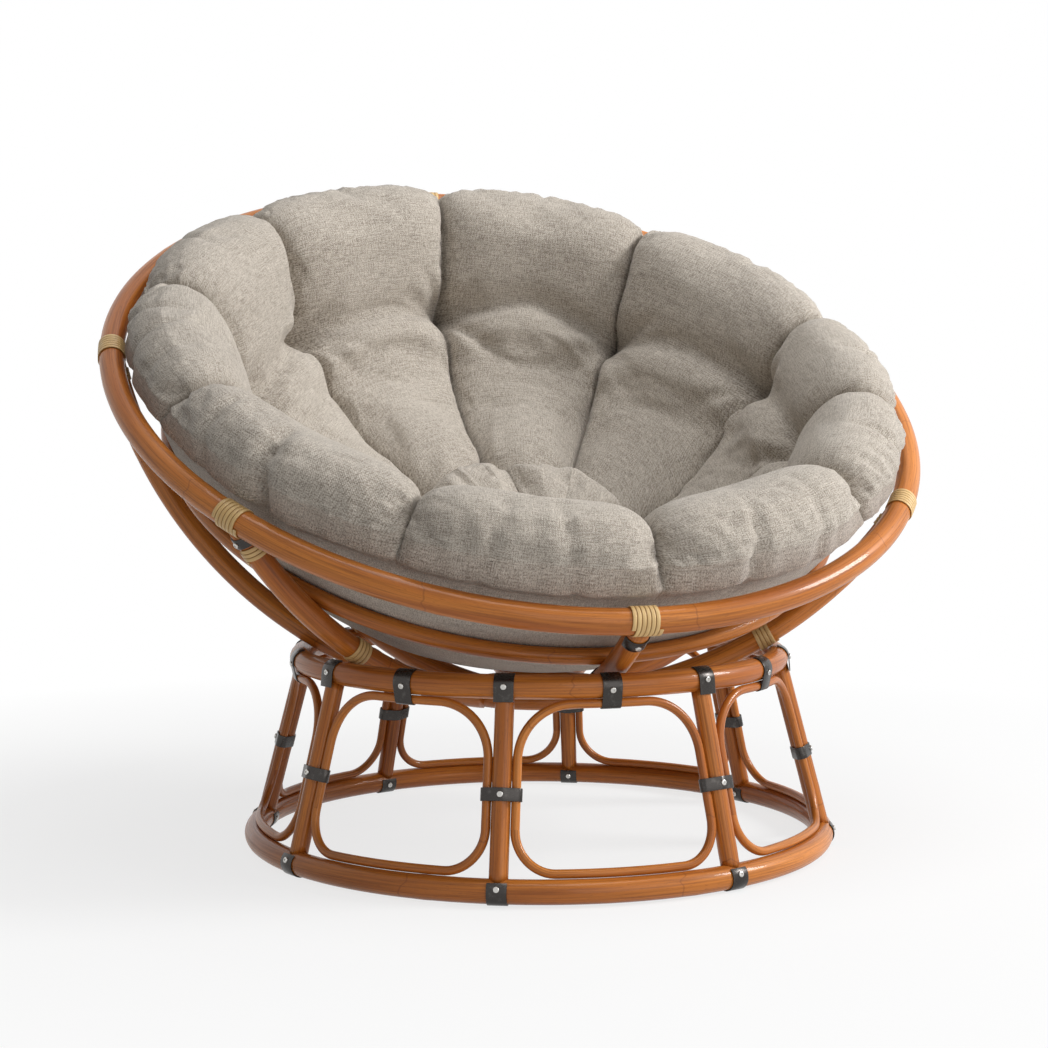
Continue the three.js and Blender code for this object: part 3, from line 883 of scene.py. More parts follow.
@dataclass(frozen=True)
class ScrewHead:
    """A round screw head with a sunk socket."""

    radius: float = 3.5 * MM
    height: float = 1.9 * MM
    rounding: float = 1.0 * MM
    rim: float = 1.1 * MM
    depth: float = 1.0 * MM
    sides: int = 20

    def mesh(self) -> bmesh.types.BMesh:
        """Makes the head, standing on the XY plane and facing up."""
        head = bmesh.new()
        bmesh.ops.create_cone(
            head, cap_ends=True, segments=self.sides, depth=self.height,
            radius1=self.radius, radius2=self.radius,
            matrix=Matrix.Translation((0, 0, self.height / 2)),
        )
        crown = max(head.faces, key=lambda f: f.calc_center_median().z)
        bmesh.ops.bevel(
            head, geom=crown.edges[:], offset=self.rounding, segments=3, profile=0.5,
            affect="EDGES", material=-1,
        )
        crown = max(head.faces, key=lambda f: (round(f.calc_center_median().z, 6), f.calc_area()))
        bmesh.ops.inset_individual(head, faces=[crown], thickness=self.rim)
        bmesh.ops.inset_individual(head, faces=[crown], thickness=0.1 * MM)
        bmesh.ops.translate(head, vec=(0, 0, -self.depth), verts=crown.verts[:])
        return head


class Screws:
    """The screws of one sub-assembly, gathered into one mesh."""

    def __init__(self, head: ScrewHead = ScrewHead()) -> None:
        """Makes the head that every screw repeats.

        Args:
            head: The head's sizes.
        """
        self.mesh = bmesh.new()
        self.template = bpy.data.meshes.new("screw_head")
        made = head.mesh()
        made.to_mesh(self.template)
        made.free()

    def add(self, point: Vector, out: Vector) -> None:
        """Adds a screw.

        Args:
            point: Where its head meets the strap.
            out: The way that it faces.
        """
        known = len(self.mesh.verts)
        self.mesh.from_mesh(self.template)
        self.mesh.verts.ensure_lookup_table()
        facing = out.to_track_quat("Z", "Y").to_matrix().to_4x4()
        place = Matrix.Translation(point) @ facing
        bmesh.ops.transform(self.mesh, matrix=place, verts=self.mesh.verts[known:])


def placed(name: str, data: bpy.types.ID) -> bpy.types.Object:
    """Puts a mesh, a light or a camera into the scene as an object."""
    thing = bpy.data.objects.new(name, data)
    bpy.context.scene.collection.objects.link(thing)
    return thing


def on_plane(first: Vector, second: Vector, origin: Vector = Vector()) -> Matrix:
    """Gives a plane's matrix from its X and Y directions and its origin."""
    columns = Matrix((first, second, first.cross(second))).transposed().to_4x4()
    return Matrix.Translation(origin) @ columns


def outward_section(heading: float, place: Matrix) -> Matrix:
    """Gives the upright plane at a heading round the drum: X points outwards and Y up."""
    front = on_plane(Vector((0.0, -1.0, 0.0)), UP.copy())
    return place @ Matrix.Rotation(heading, 4, "Z") @ front


@dataclass(frozen=True)
class Placing:
    """Where the drum and the bowl stand, read from the CAD frame."""

    base: Matrix
    bowl: Matrix

    @classmethod
    def of_frame(cls, turn: float) -> "Placing":
        """Reads the drum's middle from its bottom ring, and the bowl's place from the joints.

        Args:
            turn: How far the first leg is turned from the front.

        Returns:
            Both places.
        """
        joints = {joint["name"]: joint for joint in frame["joints"]}
        low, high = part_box("base_bottom_ring")
        middle = (low + high) / 2
        base = Matrix.Translation((middle.x, middle.y, 0.0)) @ Matrix.Rotation(turn, 4, "Z")
        lift = joints["cushion_lift"]["axis"]
        tilt = math.atan2(-lift[1], lift[2])
        bowl = Matrix.Translation(joints["bowl_tilt"]["pos_m"]) @ Matrix.Rotation(tilt, 4, "X")
        return cls(base, bowl)


class SubAssembly:
    """One moving group of the chair while it is built and dressed."""

    body: Body
    suffixes = {Slot.CANE: "pole", Slot.PEEL: "peel", Slot.STEEL: "steel", Slot.TWEED: "cloth"}
    joint_pitch = CaneFinish.joint_pitch
    strap_pitch = 1.6 * MM
    strap_rounding = 0.32
    peel_rounding = 0.42
    winding_sides = 32

    def __init__(self, placing: Placing, finishes: Finishes) -> None:
        """Keeps what its pieces are placed by and finished with.

        Args:
            placing: Where the drum and the bowl stand.
            finishes: The chair's materials.
        """
        self.placing = placing
        self.finishes = finishes
        self.made: list[bpy.types.Object] = []

    def finish(
        self,
        name: str,
        mesh: bmesh.types.BMesh,
        material: bpy.types.Material,
        slot: Slot,
        sharp: float | None = None,
        nodes: tuple[str, ...] = (),
    ) -> bpy.types.Object:
        """Turns a mesh into a finished piece that rides on this group.

        Args:
            name: The piece's name.
            mesh: The mesh, in its place. It is freed.
            material: Its material.
            slot: The record's slot for it.
            sharp: Edges bent by more degrees than this stay crisp.
            nodes: The CAD nodes that it stands for.

        Returns:
            The piece.
        """
        bmesh.ops.recalc_face_normals(mesh, faces=mesh.faces[:])
        for face in mesh.faces:
            face.smooth = True
        name = f"{name}_{self.suffixes[slot]}"
        data = bpy.data.meshes.new(name)
        mesh.to_mesh(data)
        mesh.free()
        if sharp is not None:
            data.set_sharp_from_angle(angle=math.radians(sharp))
        data.materials.append(material)
        piece = placed(name, data)
        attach(piece, self.body.value)
        if nodes:
            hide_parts(*nodes)
        self.made.append(piece)
        return piece

    def cane(
        self,
        name: str,
        route: Route,
        radius: float,
        pitch: float,
        sides: int = 24,
        closed: bool = False,
        low: RingSurface | None = None,
        high: RingSurface | None = None,
    ) -> bpy.types.Object:
        """Bends a cane pole along a route, in place of the CAD node of the same name.

        Args:
            name: The node's and the piece's name.
            route: The line that the pole follows.
            radius: The pole's radius.
            pitch: The most that lies between two rings of its mesh.
            sides: How many sides the mesh has.
            closed: Whether its ends meet.
            low: The ring that its first end is coped to.
            high: The ring that its last end is coped to.

        Returns:
            The piece.
        """
        stock = Stock.pole(route.length, radius, pitch, sides, closed)
        if low or high:
            stock.coped(route, 0.0, low, high)
        offset = random.Random(name).uniform(0.0, 40.0)
        stock.marked(offset).grown(radius, self.joint_pitch, offset).bent(route)
        return self.finish(name, stock.mesh, self.finishes.cane, Slot.CANE, nodes=(name,))

    def strap(
        self,
        name: str,
        route: Route,
        width: float,
        thickness: float,
        closed: bool = False,
        nodes: tuple[str, ...] = (),
    ) -> bpy.types.Object:
        """Bends a steel band along a route.

        Args:
            name: The piece's name.
            route: The line that the band's middle follows.
            width: The band's width.
            thickness: The band's thickness.
            closed: Whether its ends meet.
            nodes: The CAD nodes that it stands for.

        Returns:
            The piece.
        """
        rounding = self.strap_rounding * thickness
        stock = Stock.band(route.length, width, thickness, self.strap_pitch, rounding, closed)
        stock.marked(0.0).bent(route)
        material = self.finishes.strap
        return self.finish(name, stock.mesh, material, Slot.STEEL, sharp=40.0, nodes=nodes)

    def winding(
        self,
        name: str,
        route: Route,
        middle: float,
        core: float,
        turns: int,
        peel: "Peel",
        nodes: tuple[str, ...] = (),
    ) -> bpy.types.Object:
        """Winds peel round a pole.

        Args:
            name: The piece's name.
            route: The line that the pole follows.
            middle: Where on the line the winding's middle lies.
            core: The pole's radius.
            turns: How many turns.
            peel: The strip's sizes.
            nodes: The CAD nodes that it stands for.

        Returns:
            The piece.
        """
        reach = core + peel.gap + peel.thickness / 2
        pitch = FULL_TURN * reach / self.winding_sides
        rounding = self.peel_rounding * peel.thickness
        length = FULL_TURN * reach * turns
        stock = Stock.band(length, peel.width, peel.thickness, pitch, rounding)
        stock.marked(random.Random(name).uniform(0.0, 9.0)).wound(reach, peel.pitch)
        stock.bent(route, middle - turns * peel.pitch / 2)
        return self.finish(name, stock.mesh, self.finishes.peel, Slot.PEEL, sharp=60.0, nodes=nodes)

    def fasten(self, name: str, screws: Screws) -> bpy.types.Object:
        """Makes the gathered screws one piece."""
        return self.finish(name, screws.mesh, self.finishes.screw, Slot.STEEL, sharp=50.0)

    def build(self) -> None:
        """Makes every piece of the group."""
        raise NotImplementedError

    def report(self) -> None:
        """Names each piece and its size."""
        for piece in self.made:
            LOG.info("%s on %s: %d faces", piece.name, self.body.value, len(piece.data.polygons))


@dataclass(frozen=True)
class Peel:
    """Sizes of the cane peel that the windings are wound from."""

    width: float = 4.95 * MM
    thickness: float = 1.4 * MM
    pitch: float = 5.4 * MM
    gap: float = 0.35 * MM


# The drum


@dataclass(frozen=True)
class BaseSizes:
    """Driving sizes of the drum."""

    bottom_radius: float = 359 * MM
    top_radius: float = 301 * MM
    ring_tube: float = 14 * MM
    bottom_height: float = 15.5 * MM
    top_height: float = 235 * MM
    leg_tube: float = 11 * MM
    count: int = 8
    turn: float = math.radians(-26)
    loop_tube: float = 5.25 * MM
    loop_lower_bend: float = 42 * MM
    loop_upper_bend: float = 68 * MM
    strap_thickness: float = 1.2 * MM
    strap_width: float = 23 * MM
    clamp_width: float = 15 * MM
    clamp_height: float = 118 * MM

    @property
    def slope(self) -> float:
        """How much the drum's radius shrinks for each metre of height."""
        return (self.bottom_radius - self.top_radius) / (self.top_height - self.bottom_height)

    @property
    def lean(self) -> float:
        """The legs' angle from upright."""
        return math.atan(self.slope)

    @property
    def panel_turn(self) -> float:
        """The angle from one leg to the next."""
        return FULL_TURN / self.count

    @property
    def loop_side(self) -> float:
        """From a leg's middle to the loop beside it."""
        return self.leg_tube + CLEARANCE + self.loop_tube

    @property
    def loop_end(self) -> float:
        """From a ring's middle to the loop below or above it."""
        return self.ring_tube + CLEARANCE + self.loop_tube

    def cone_radius(self, height: float) -> float:
        """The radius of the drum's cone at a height."""
        return self.bottom_radius - (height - self.bottom_height) * self.slope


class Base(SubAssembly):
    """The drum: two rings, eight leaning legs, eight bent loops, and their straps and screws."""

    body = Body.BASE
    ring_pitch = 13 * MM
    leg_pitch = 9 * MM
    loop_pitch = 5 * MM
    tail = 19 * MM
    tail_bend = 0.01 * MM
    tail_turn = 0.02
    hang_gap = 0.1 * MM
    hang_screw = 0.03
    foot_screws = (math.radians(20), math.radians(190))
    panel_wrap = math.radians(140)

    def __init__(
        self, placing: Placing, finishes: Finishes, sizes: BaseSizes = BaseSizes()
    ) -> None:
        """Keeps the sizes.

        Args:
            placing: Where the drum and the bowl stand.
            finishes: The chair's materials.
            sizes: The drum's sizes.
        """
        super().__init__(placing, finishes)
        self.sizes = sizes
        self.screws = Screws()
        raised = [Matrix.Translation((0, 0, h)) for h in (sizes.bottom_height, sizes.top_height)]
        self.bottom_plane, self.top_plane = (placing.base @ move for move in raised)

    def build(self) -> None:
        """Makes every piece of the drum."""
        sizes = self.sizes
        rings = (
            ("base_bottom_ring", self.bottom_plane, sizes.bottom_radius),
            ("base_top_ring", self.top_plane, sizes.top_radius),
        )
        for name, plane, radius in rings:
            route = ArcRoute(plane, radius, 0.0, FULL_TURN)
            self.cane(name, route, sizes.ring_tube, self.ring_pitch, closed=True)
        for k in range(sizes.count):
            heading = k * sizes.panel_turn
            self.leg(k + 1, heading)
            self.mid_clamp(k + 1, heading)
            self.top_strap(k + 1, heading)
            self.foot_strap(k + 1, heading)
            self.loop(k + 1, heading + sizes.panel_turn / 2)
            self.panel_strap(k + 1, heading + sizes.panel_turn / 2)
        self.fasten("base_screws", self.screws)

    def leg(self, number: int, heading: float) -> None:
        """Makes a leg, coped to both rings."""
        sizes = self.sizes
        section = outward_section(heading, self.placing.base)
        start = section @ Vector((sizes.bottom_radius, sizes.bottom_height, 0.0))
        end = section @ Vector((sizes.top_radius, sizes.top_height, 0.0))
        route = StraightRoute(start, end, (section.to_3x3() @ UP).normalized())
        low = RingSurface(self.bottom_plane, sizes.bottom_radius, sizes.ring_tube + CLEARANCE)
        high = RingSurface(self.top_plane, sizes.top_radius, sizes.ring_tube + CLEARANCE)
        self.cane(f"leg_{number}", route, sizes.leg_tube, self.leg_pitch, low=low, high=high)

    def loop_turns(self) -> list[Turn]:
        """Gives the four bends of a loop, unrolled flat: X along the drum and Y the height."""
        sizes = self.sizes
        low = sizes.bottom_height + sizes.loop_end * math.cos(sizes.lean)
        high = sizes.top_height - sizes.loop_end * math.cos(sizes.lean)
        half_panel = sizes.panel_turn / 2
        wide, narrow = (sizes.cone_radius(h) * half_panel - sizes.loop_side for h in (low, high))
        bends = (sizes.loop_lower_bend, sizes.loop_upper_bend)
        places = ((-wide, low), (wide, low), (narrow, high), (-narrow, high))
        corners = [Vector(place) for place in places]
        turns = []
        for i, corner in enumerate(corners):
            bend = bends[i // 2]
            back = (corners[i - 1] - corner).normalized()
            ahead = (corners[(i + 1) % 4] - corner).normalized()
            half = math.acos(back.dot(ahead)) / 2
            inwards = (back + ahead).normalized()
            centre = corner + inwards * (bend / math.sin(half))
            start = math.atan2(-inwards.y, -inwards.x) - (RIGHT_ANGLE - half)
            turns.append(Turn(centre.x, centre.y, bend, start, start + math.pi - 2 * half))
        return turns

    def loop(self, number: int, heading: float) -> None:
        """Makes the loop that fills a panel between two legs."""
        sizes = self.sizes
        plane = self.placing.base @ Matrix.Rotation(heading, 4, "Z")
        route = ConeRoute(plane, self.loop_turns(), sizes.cone_radius(0.0), sizes.slope)
        name = f"panel_loop_{number}"
        self.cane(name, route, sizes.loop_tube, self.loop_pitch, sides=16, closed=True)

    def section_strap(
        self,
        name: str,
        heading: float,
        turns: list[Turn],
        screw: float,
        nodes: tuple[str, ...] = (),
    ) -> None:
        """Makes a strap in an upright plane of the drum, with one screw in its first turn.

        Args:
            name: The piece's name.
            heading: Its place round the drum.
            turns: The bends of its middle line.
            screw: The angle of the first turn at which its screw sits.
            nodes: The CAD nodes that it stands for.
        """
        sizes = self.sizes
        section = outward_section(heading, self.placing.base)
        route = FlatRoute(section, turns)
        self.strap(name, route, sizes.strap_width, sizes.strap_thickness, nodes=nodes)
        self.screw(section, turns[0], screw)

    def screw(self, section: Matrix, turn: Turn, angle: float) -> None:
        """Sets a screw on a strap's turn."""
        out = Vector((math.cos(angle), math.sin(angle), 0.0))
        point = turn.point(angle) + out * (self.sizes.strap_thickness / 2)
        self.screws.add(section @ point, (section.to_3x3() @ out).normalized())

    @property
    def strap_reach(self) -> float:
        """From a ring's middle to the middle of a strap that goes round it."""
        return self.sizes.ring_tube + CLEARANCE + self.sizes.strap_thickness / 2

    def foot_strap(self, number: int, heading: float) -> None:
        """Makes the strap from a leg's outer side, under the bottom ring, to its inner side."""
        sizes = self.sizes
        spread = math.asin((sizes.leg_tube + sizes.strap_thickness) / self.strap_reach)
        up = RIGHT_ANGLE + sizes.lean
        start, end = up - spread, up + spread - FULL_TURN
        turn = Turn(sizes.bottom_radius, sizes.bottom_height, self.strap_reach, start, end)
        outer, inner = self.foot_screws
        self.section_strap(f"foot_strap_{number}", heading, [turn], outer)
        self.screw(outward_section(heading, self.placing.base), turn, inner)

    def top_strap(self, number: int, heading: float) -> None:
        """Makes the strap over the top ring, which ends on the leg just below the ring."""
        sizes = self.sizes
        reach = sizes.leg_tube + CLEARANCE + sizes.strap_thickness / 2
        x = self.tail * math.sin(sizes.lean) + reach * math.cos(sizes.lean)
        y = -self.tail * math.cos(sizes.lean) + reach * math.sin(sizes.lean)
        leave = math.atan2(y, x) + math.acos(self.strap_reach / math.hypot(x, y))
        over = Turn(sizes.top_radius, sizes.top_height, self.strap_reach, RIGHT_ANGLE, leave)
        x, y = sizes.top_radius + x, sizes.top_height + y
        end = Turn(x, y, self.tail_bend, leave, leave - self.tail_turn)
        name = f"top_strap_{number}"
        self.section_strap(name, heading, [over, end], leave + self.tail_turn, (name,))

    def panel_strap(self, number: int, heading: float) -> None:
        """Makes the strap that hangs a loop on the top ring."""
        sizes = self.sizes
        down = -RIGHT_ANGLE + sizes.lean
        loop_reach = sizes.loop_tube + self.hang_gap + sizes.strap_thickness / 2
        leave = down + math.acos((self.strap_reach - loop_reach) / sizes.loop_end)
        over = Turn(sizes.top_radius, sizes.top_height, self.strap_reach, RIGHT_ANGLE, leave)
        x = sizes.top_radius + sizes.loop_end * math.cos(down)
        y = sizes.top_height + sizes.loop_end * math.sin(down)
        under = Turn(x, y, loop_reach, leave, leave - self.panel_wrap)
        name = f"panel_strap_{number}"
        self.section_strap(name, heading, [over, under], leave + self.hang_screw)

    def mid_clamp(self, number: int, heading: float) -> None:
        """Makes the band round a leg and the two loops beside it."""
        sizes = self.sizes
        radius = sizes.cone_radius(sizes.clamp_height)
        setback = radius - math.sqrt(radius**2 - sizes.loop_side**2)
        margin = CLEARANCE + sizes.strap_thickness / 2
        leg_reach = sizes.leg_tube + margin
        loop_reach = sizes.loop_tube + setback + margin
        turn = math.acos((leg_reach - loop_reach) / sizes.loop_side)
        half = math.pi
        turns = [
            Turn(sizes.loop_side, 0.0, loop_reach, -turn, turn),
            Turn(0.0, 0.0, leg_reach, turn, half - turn),
            Turn(-sizes.loop_side, 0.0, loop_reach, half - turn, half + turn),
            Turn(0.0, 0.0, leg_reach, half + turn, FULL_TURN - turn),
        ]
        place = self.placing.base @ Matrix.Rotation(heading, 4, "Z")
        move = Matrix.Translation((0.0, -radius, sizes.clamp_height))
        plane = place @ move @ Matrix.Rotation(-sizes.lean, 4, "X")
        name = f"mid_clamp_{number}"
        route = FlatRoute(plane, turns, closed=True)
        width, thickness = sizes.clamp_width, sizes.strap_thickness
        self.strap(name, route, width, thickness, closed=True, nodes=(name,))
        self.screw(plane, turns[3], -RIGHT_ANGLE)


# The bowl


@dataclass(frozen=True)
class BowlSizes:
    """Driving sizes of the bowl frame, about the bowl's centre."""

    rim_radius: float = 519 * MM
    rim_tube: float = 15.5 * MM
    rim_polar: float = math.radians(72.24)
    rib_tube: float = 14 * MM
    rib_angles: tuple[float, ...] = tuple(
        math.radians(a) for a in (54, -54, 97, -97, 139, -139, 180)
    )
    rest_tilt: float = math.radians(31.3)
    hoop_tube: float = 10 * MM
    hoop_polar: float = math.radians(58)
    hub_radius: float = 92 * MM
    hub_tube: float = 12 * MM
    clip_width: float = 12 * MM
    clip_setback: float = 3 * MM
    strap_thickness: float = 1.2 * MM
    rim_turns: int = 6
    rest_turns: int = 4
    rest_ribs: tuple[int, ...] = (0, 1, 4, 5)
    collar_turns: int = 3
    end_gap: float = 2.1 * MM
    plated_rib: int = 1
    rib_plate: float = 13 * MM
    strut_plate: float = 17 * MM
    strut_plate_end: float = 14 * MM
    plate_reach: float = math.radians(75)

    @property
    def sphere(self) -> float:
        """Radius of the sphere on which the ribs' middles lie."""
        return self.rim_radius / math.sin(self.rim_polar)

    @property
    def rim_drop(self) -> float:
        """How far the rim lies below the centre."""
        return self.rim_radius / math.tan(self.rim_polar)

    @property
    def hub_way(self) -> Vector:
        """The direction from the centre to the hub, straight down at rest."""
        return Vector((0.0, -math.sin(self.rest_tilt), -math.cos(self.rest_tilt)))


class Bowl(SubAssembly):
    """The bowl frame: rim, inner hoop, hub ring, seven ribs and a strut, wound at their ends."""

    body = Body.BOWL
    ring_pitch = 12 * MM
    hub_pitch = 7 * MM
    rib_pitch = 9 * MM
    winding_height = 1.6 * MM
    winding_half = math.radians(5)

    def __init__(
        self,
        placing: Placing,
        finishes: Finishes,
        base: BaseSizes,
        sizes: BowlSizes = BowlSizes(),
    ) -> None:
        """Works out the planes that its rings lie in.

        Args:
            placing: Where the drum and the bowl stand.
            finishes: The chair's materials.
            base: The sizes of the drum that the bowl rests on.
            sizes: The bowl's sizes.
        """
        super().__init__(placing, finishes)
        self.sizes = sizes
        self.peel = Peel()
        self.screws = Screws()
        self.rim_plane = placing.bowl @ Matrix.Translation((0, 0, -sizes.rim_drop))
        hub_reach = math.sqrt(sizes.sphere**2 - sizes.hub_radius**2)
        lowered = Matrix.Translation(sizes.hub_way * hub_reach)
        self.hub_plane = placing.bowl @ lowered @ Matrix.Rotation(-sizes.rest_tilt, 4, "X")
        wound = sizes.rib_tube + CLEARANCE + self.winding_height
        seat = sizes.sphere + wound + CLEARANCE + base.ring_tube
        self.seat_turn = math.asin(base.top_radius / seat)

    def rib_plane(self, rim_angle: float) -> tuple[Matrix, float]:
        """Gives the plane of a rib and the angle at which it meets the rim.

        Args:
            rim_angle: The rib's place on the rim, from the front.

        Returns:
            The plane, with X towards the hub, and the angle from there to the rim.
        """
        sizes = self.sizes
        rim = Vector((math.sin(rim_angle), -math.cos(rim_angle), 0.0)) * sizes.rim_radius
        rim.z = -sizes.rim_drop
        rim.normalize()
        turn = rim.angle(sizes.hub_way)
        across = (rim - sizes.hub_way * math.cos(turn)).normalized()
        return self.placing.bowl @ on_plane(sizes.hub_way, across), turn

    def build(self) -> None:
        """Makes every piece of the bowl frame."""
        sizes = self.sizes
        whole = (0.0, FULL_TURN)
        rim = ArcRoute(self.rim_plane, sizes.rim_radius, *whole)
        self.cane("rim", rim, sizes.rim_tube, self.ring_pitch, closed=True)
        hoop_sphere = sizes.sphere - sizes.rib_tube - CLEARANCE - sizes.hoop_tube
        sunk = Matrix.Translation((0, 0, -hoop_sphere * math.cos(sizes.hoop_polar)))
        hoop = ArcRoute(self.placing.bowl @ sunk, hoop_sphere * math.sin(sizes.hoop_polar), *whole)
        self.cane("bowl_hoop", hoop, sizes.hoop_tube, self.ring_pitch, sides=20, closed=True)
        hub = ArcRoute(self.hub_plane, sizes.hub_radius, *whole)
        self.cane("hub_ring", hub, sizes.hub_tube, self.hub_pitch, sides=20, closed=True)
        self.front_strut()
        for k, rim_angle in enumerate(sizes.rib_angles):
            self.rib(k, rim_angle)
        for k, rim_angle in enumerate((0.0, *sizes.rib_angles)):
            self.rim_winding(k + 1, rim_angle)
        self.fasten("bowl_screws", self.screws)

    @property
    def rim_skin(self) -> RingSurface:
        """The skin of the wound rim, which the ribs end at."""
        tube = self.sizes.rim_tube + self.peel.gap + self.peel.thickness + CLEARANCE
        return RingSurface(self.rim_plane, self.sizes.rim_radius, tube)

    def rib(self, index: int, rim_angle: float) -> None:
        """Makes a rib with its windings.

        Args:
            index: The rib's place in the list, from 0.
            rim_angle: Its place on the rim, from the front.
        """
        sizes = self.sizes
        plane, rim_turn = self.rib_plane(rim_angle)
        hub_turn = math.asin(sizes.hub_radius / sizes.sphere)
        route = ArcRoute(plane, sizes.sphere, hub_turn, rim_turn)
        hub_skin = RingSurface(self.hub_plane, sizes.hub_radius, sizes.hub_tube + CLEARANCE)
        name = f"rib_{index + 1}"
        tube = sizes.rib_tube
        self.cane(name, route, tube, self.rib_pitch, low=hub_skin, high=self.rim_skin)
        end = route.length - self.rim_skin.tube - sizes.end_gap
        if index == sizes.plated_rib:
            self.plate("rib_plate", route, end - sizes.rib_plate / 2, sizes.rib_plate)
            end -= sizes.rib_plate + sizes.end_gap
        middle = end - sizes.collar_turns * self.peel.pitch / 2 - sizes.end_gap
        collar = f"rib_collar_{index + 1}"
        self.winding(collar, route, middle, tube, sizes.collar_turns, self.peel)
        if index in sizes.rest_ribs:
            seat = (self.seat_turn - hub_turn) * sizes.sphere
            rest = f"rest_winding_{index + 1}"
            self.winding(rest, route, seat, tube, sizes.rest_turns, self.peel, nodes=(rest,))

    def rim_winding(self, number: int, rim_angle: float) -> None:
        """Winds peel round the rim where a rib or the strut meets it."""
        sizes = self.sizes
        middle = rim_angle - RIGHT_ANGLE
        half = self.winding_half
        route = ArcRoute(self.rim_plane, sizes.rim_radius, middle - half, middle + half)
        name = f"rim_winding_{number}"
        centre = sizes.rim_radius * half
        self.winding(name, route, centre, sizes.rim_tube, sizes.rim_turns, self.peel, nodes=(name,))

    def front_strut(self) -> None:
        """Makes the short strut in front, from the hoop to the rim, with its two steel bands."""
        sizes = self.sizes
        plane, rim_turn = self.rib_plane(0.0)
        overhang = sizes.hoop_tube + sizes.strap_thickness + sizes.clip_width + sizes.clip_setback
        low_turn = sizes.hoop_polar - sizes.rest_tilt - overhang / sizes.sphere
        route = ArcRoute(plane, sizes.sphere, low_turn, rim_turn)
        self.cane("front_strut", route, sizes.rib_tube, self.rib_pitch, high=self.rim_skin)
        reach = sizes.rib_tube + CLEARANCE + sizes.strap_thickness / 2
        clip = self.across(route, sizes.clip_setback + sizes.clip_width / 2)
        ring = ArcRoute(clip, reach, 0.0, FULL_TURN)
        name = "strut_clip"
        self.strap(
            name, ring, sizes.clip_width, sizes.strap_thickness, closed=True, nodes=(name,)
        )
        self.screw(clip, reach)
        end = route.length - self.rim_skin.tube - sizes.strut_plate_end
        self.plate("strut_plate", route, end, sizes.strut_plate)

    def plate(self, name: str, route: ArcRoute, run: float, width: float) -> None:
        """Bends a steel plate round the outer side of a rib and screws it down.

        Args:
            name: The plate's name.
            route: The rib's route.
            run: Where the plate's middle is along it.
            width: The plate's width.
        """
        sizes = self.sizes
        reach = sizes.rib_tube + CLEARANCE + sizes.strap_thickness / 2
        middle = self.across(route, run)
        cover = ArcRoute(middle, reach, -sizes.plate_reach, sizes.plate_reach)
        self.strap(name, cover, width, sizes.strap_thickness)
        self.screw(middle, reach)

    def across(self, route: ArcRoute, run: float) -> Matrix:
        """Gives the plane square to a rib at a place along it, with X pointing outwards."""
        point, out, side = route.at(run)
        return on_plane(out.normalized(), side.normalized(), point)

    def screw(self, plane: Matrix, reach: float) -> None:
        """Sets a screw on the outer side of a band."""
        out = (plane.to_3x3() @ Vector((1.0, 0.0, 0.0))).normalized()
        middle = plane.to_translation()
        self.screws.add(middle + out * (reach + self.sizes.strap_thickness / 2), out)


# The cushion


@dataclass(frozen=True)
class CushionSizes:
    """Sizes of the cushion about the bowl's centre. Its section gives radius and height."""

    under_radius: float = 510.4 * MM
    under_edge: float = 484 * MM
    upper_mm: tuple[tuple[float, float], ...] = (
        (499, 12), (504, 22), (502, 34), (496, 46), (487, 58), (472, 70), (448, 77), (424, 74),
        (400, 63), (381, 42), (366, 14), (352, -16), (336, -48), (311, -84), (266, -120),
        (210, -141), (104, -148), (0, -150),
    )
    slip: float = 19 * MM
    slip_fade: float = 60 * MM
    seam_fade: float = 36 * MM
    channels: int = 10
    wander: tuple[float, ...] = (3, 6, 0, -9, -3, 0, 2, -1, -3, 4)
    crease: float = 42 * MM
    outer_share: float = 0.55
    outer_fade: tuple[float, float] = (-25 * MM, 60 * MM)
    panel_power: float = 2.4
    crest_power: float = 2.6
    crest_reach: float = 75 * MM
    lobe_power: float = 2.2
    lobe_fade: float = 28 * MM
    full_width: float = 276 * MM
    least_width: float = 0.12
    middle: float = 60 * MM
    drift: float = 200 * MM
    drift_reach: float = 420 * MM
    tufts_mm: tuple[float, ...] = (165, 155, 150, 160, 211, 215, 208, 222, 180, 165)
    arches_mm: tuple[float, ...] = (25, 20, 15, 12, 28, 6, 4, 10, 20, 25)
    arch_power: float = 1.6
    inner_ring: float = 160 * MM
    inner_share: float = 0.6
    inner_arch: float = -9 * MM
    ring_stretch: float = 1.15
    tuft_depth: float = 22 * MM
    tuft_core: float = 13 * MM
    tuft_pull: float = 9 * MM
    tuft_spread: float = 42 * MM
    valley: float = 24 * MM
    valley_width: float = 12 * MM
    valley_share: float = 0.62
    valley_reach: float = 50 * MM
    valley_above: float = 2.4
    pillow: float = 12 * MM
    pillow_place: float = 3.2
    pillow_width: float = 2.2
    seat_rise: float = 40 * MM
    seat_brim: float = 4 * MM
    seat_slope: float = 38 * MM
    deepest: float = 84 * MM
    uneven: float = 1.8 * MM
    uneven_wave: float = 90 * MM
    thread: float = 0.7 * MM
    spokes_per_panel: int = 60
    crowding: float = 0.62
    rows: int = 160
    row_shares: tuple[float, ...] = (0.0, 0.18, 0.36, 0.5, 0.8, 1.0)
    wall_height: float = 160 * MM
    quick_share: float = 0.4

    @property
    def pitch(self) -> float:
        """The angle from one crease to the next."""
        return FULL_TURN / self.channels


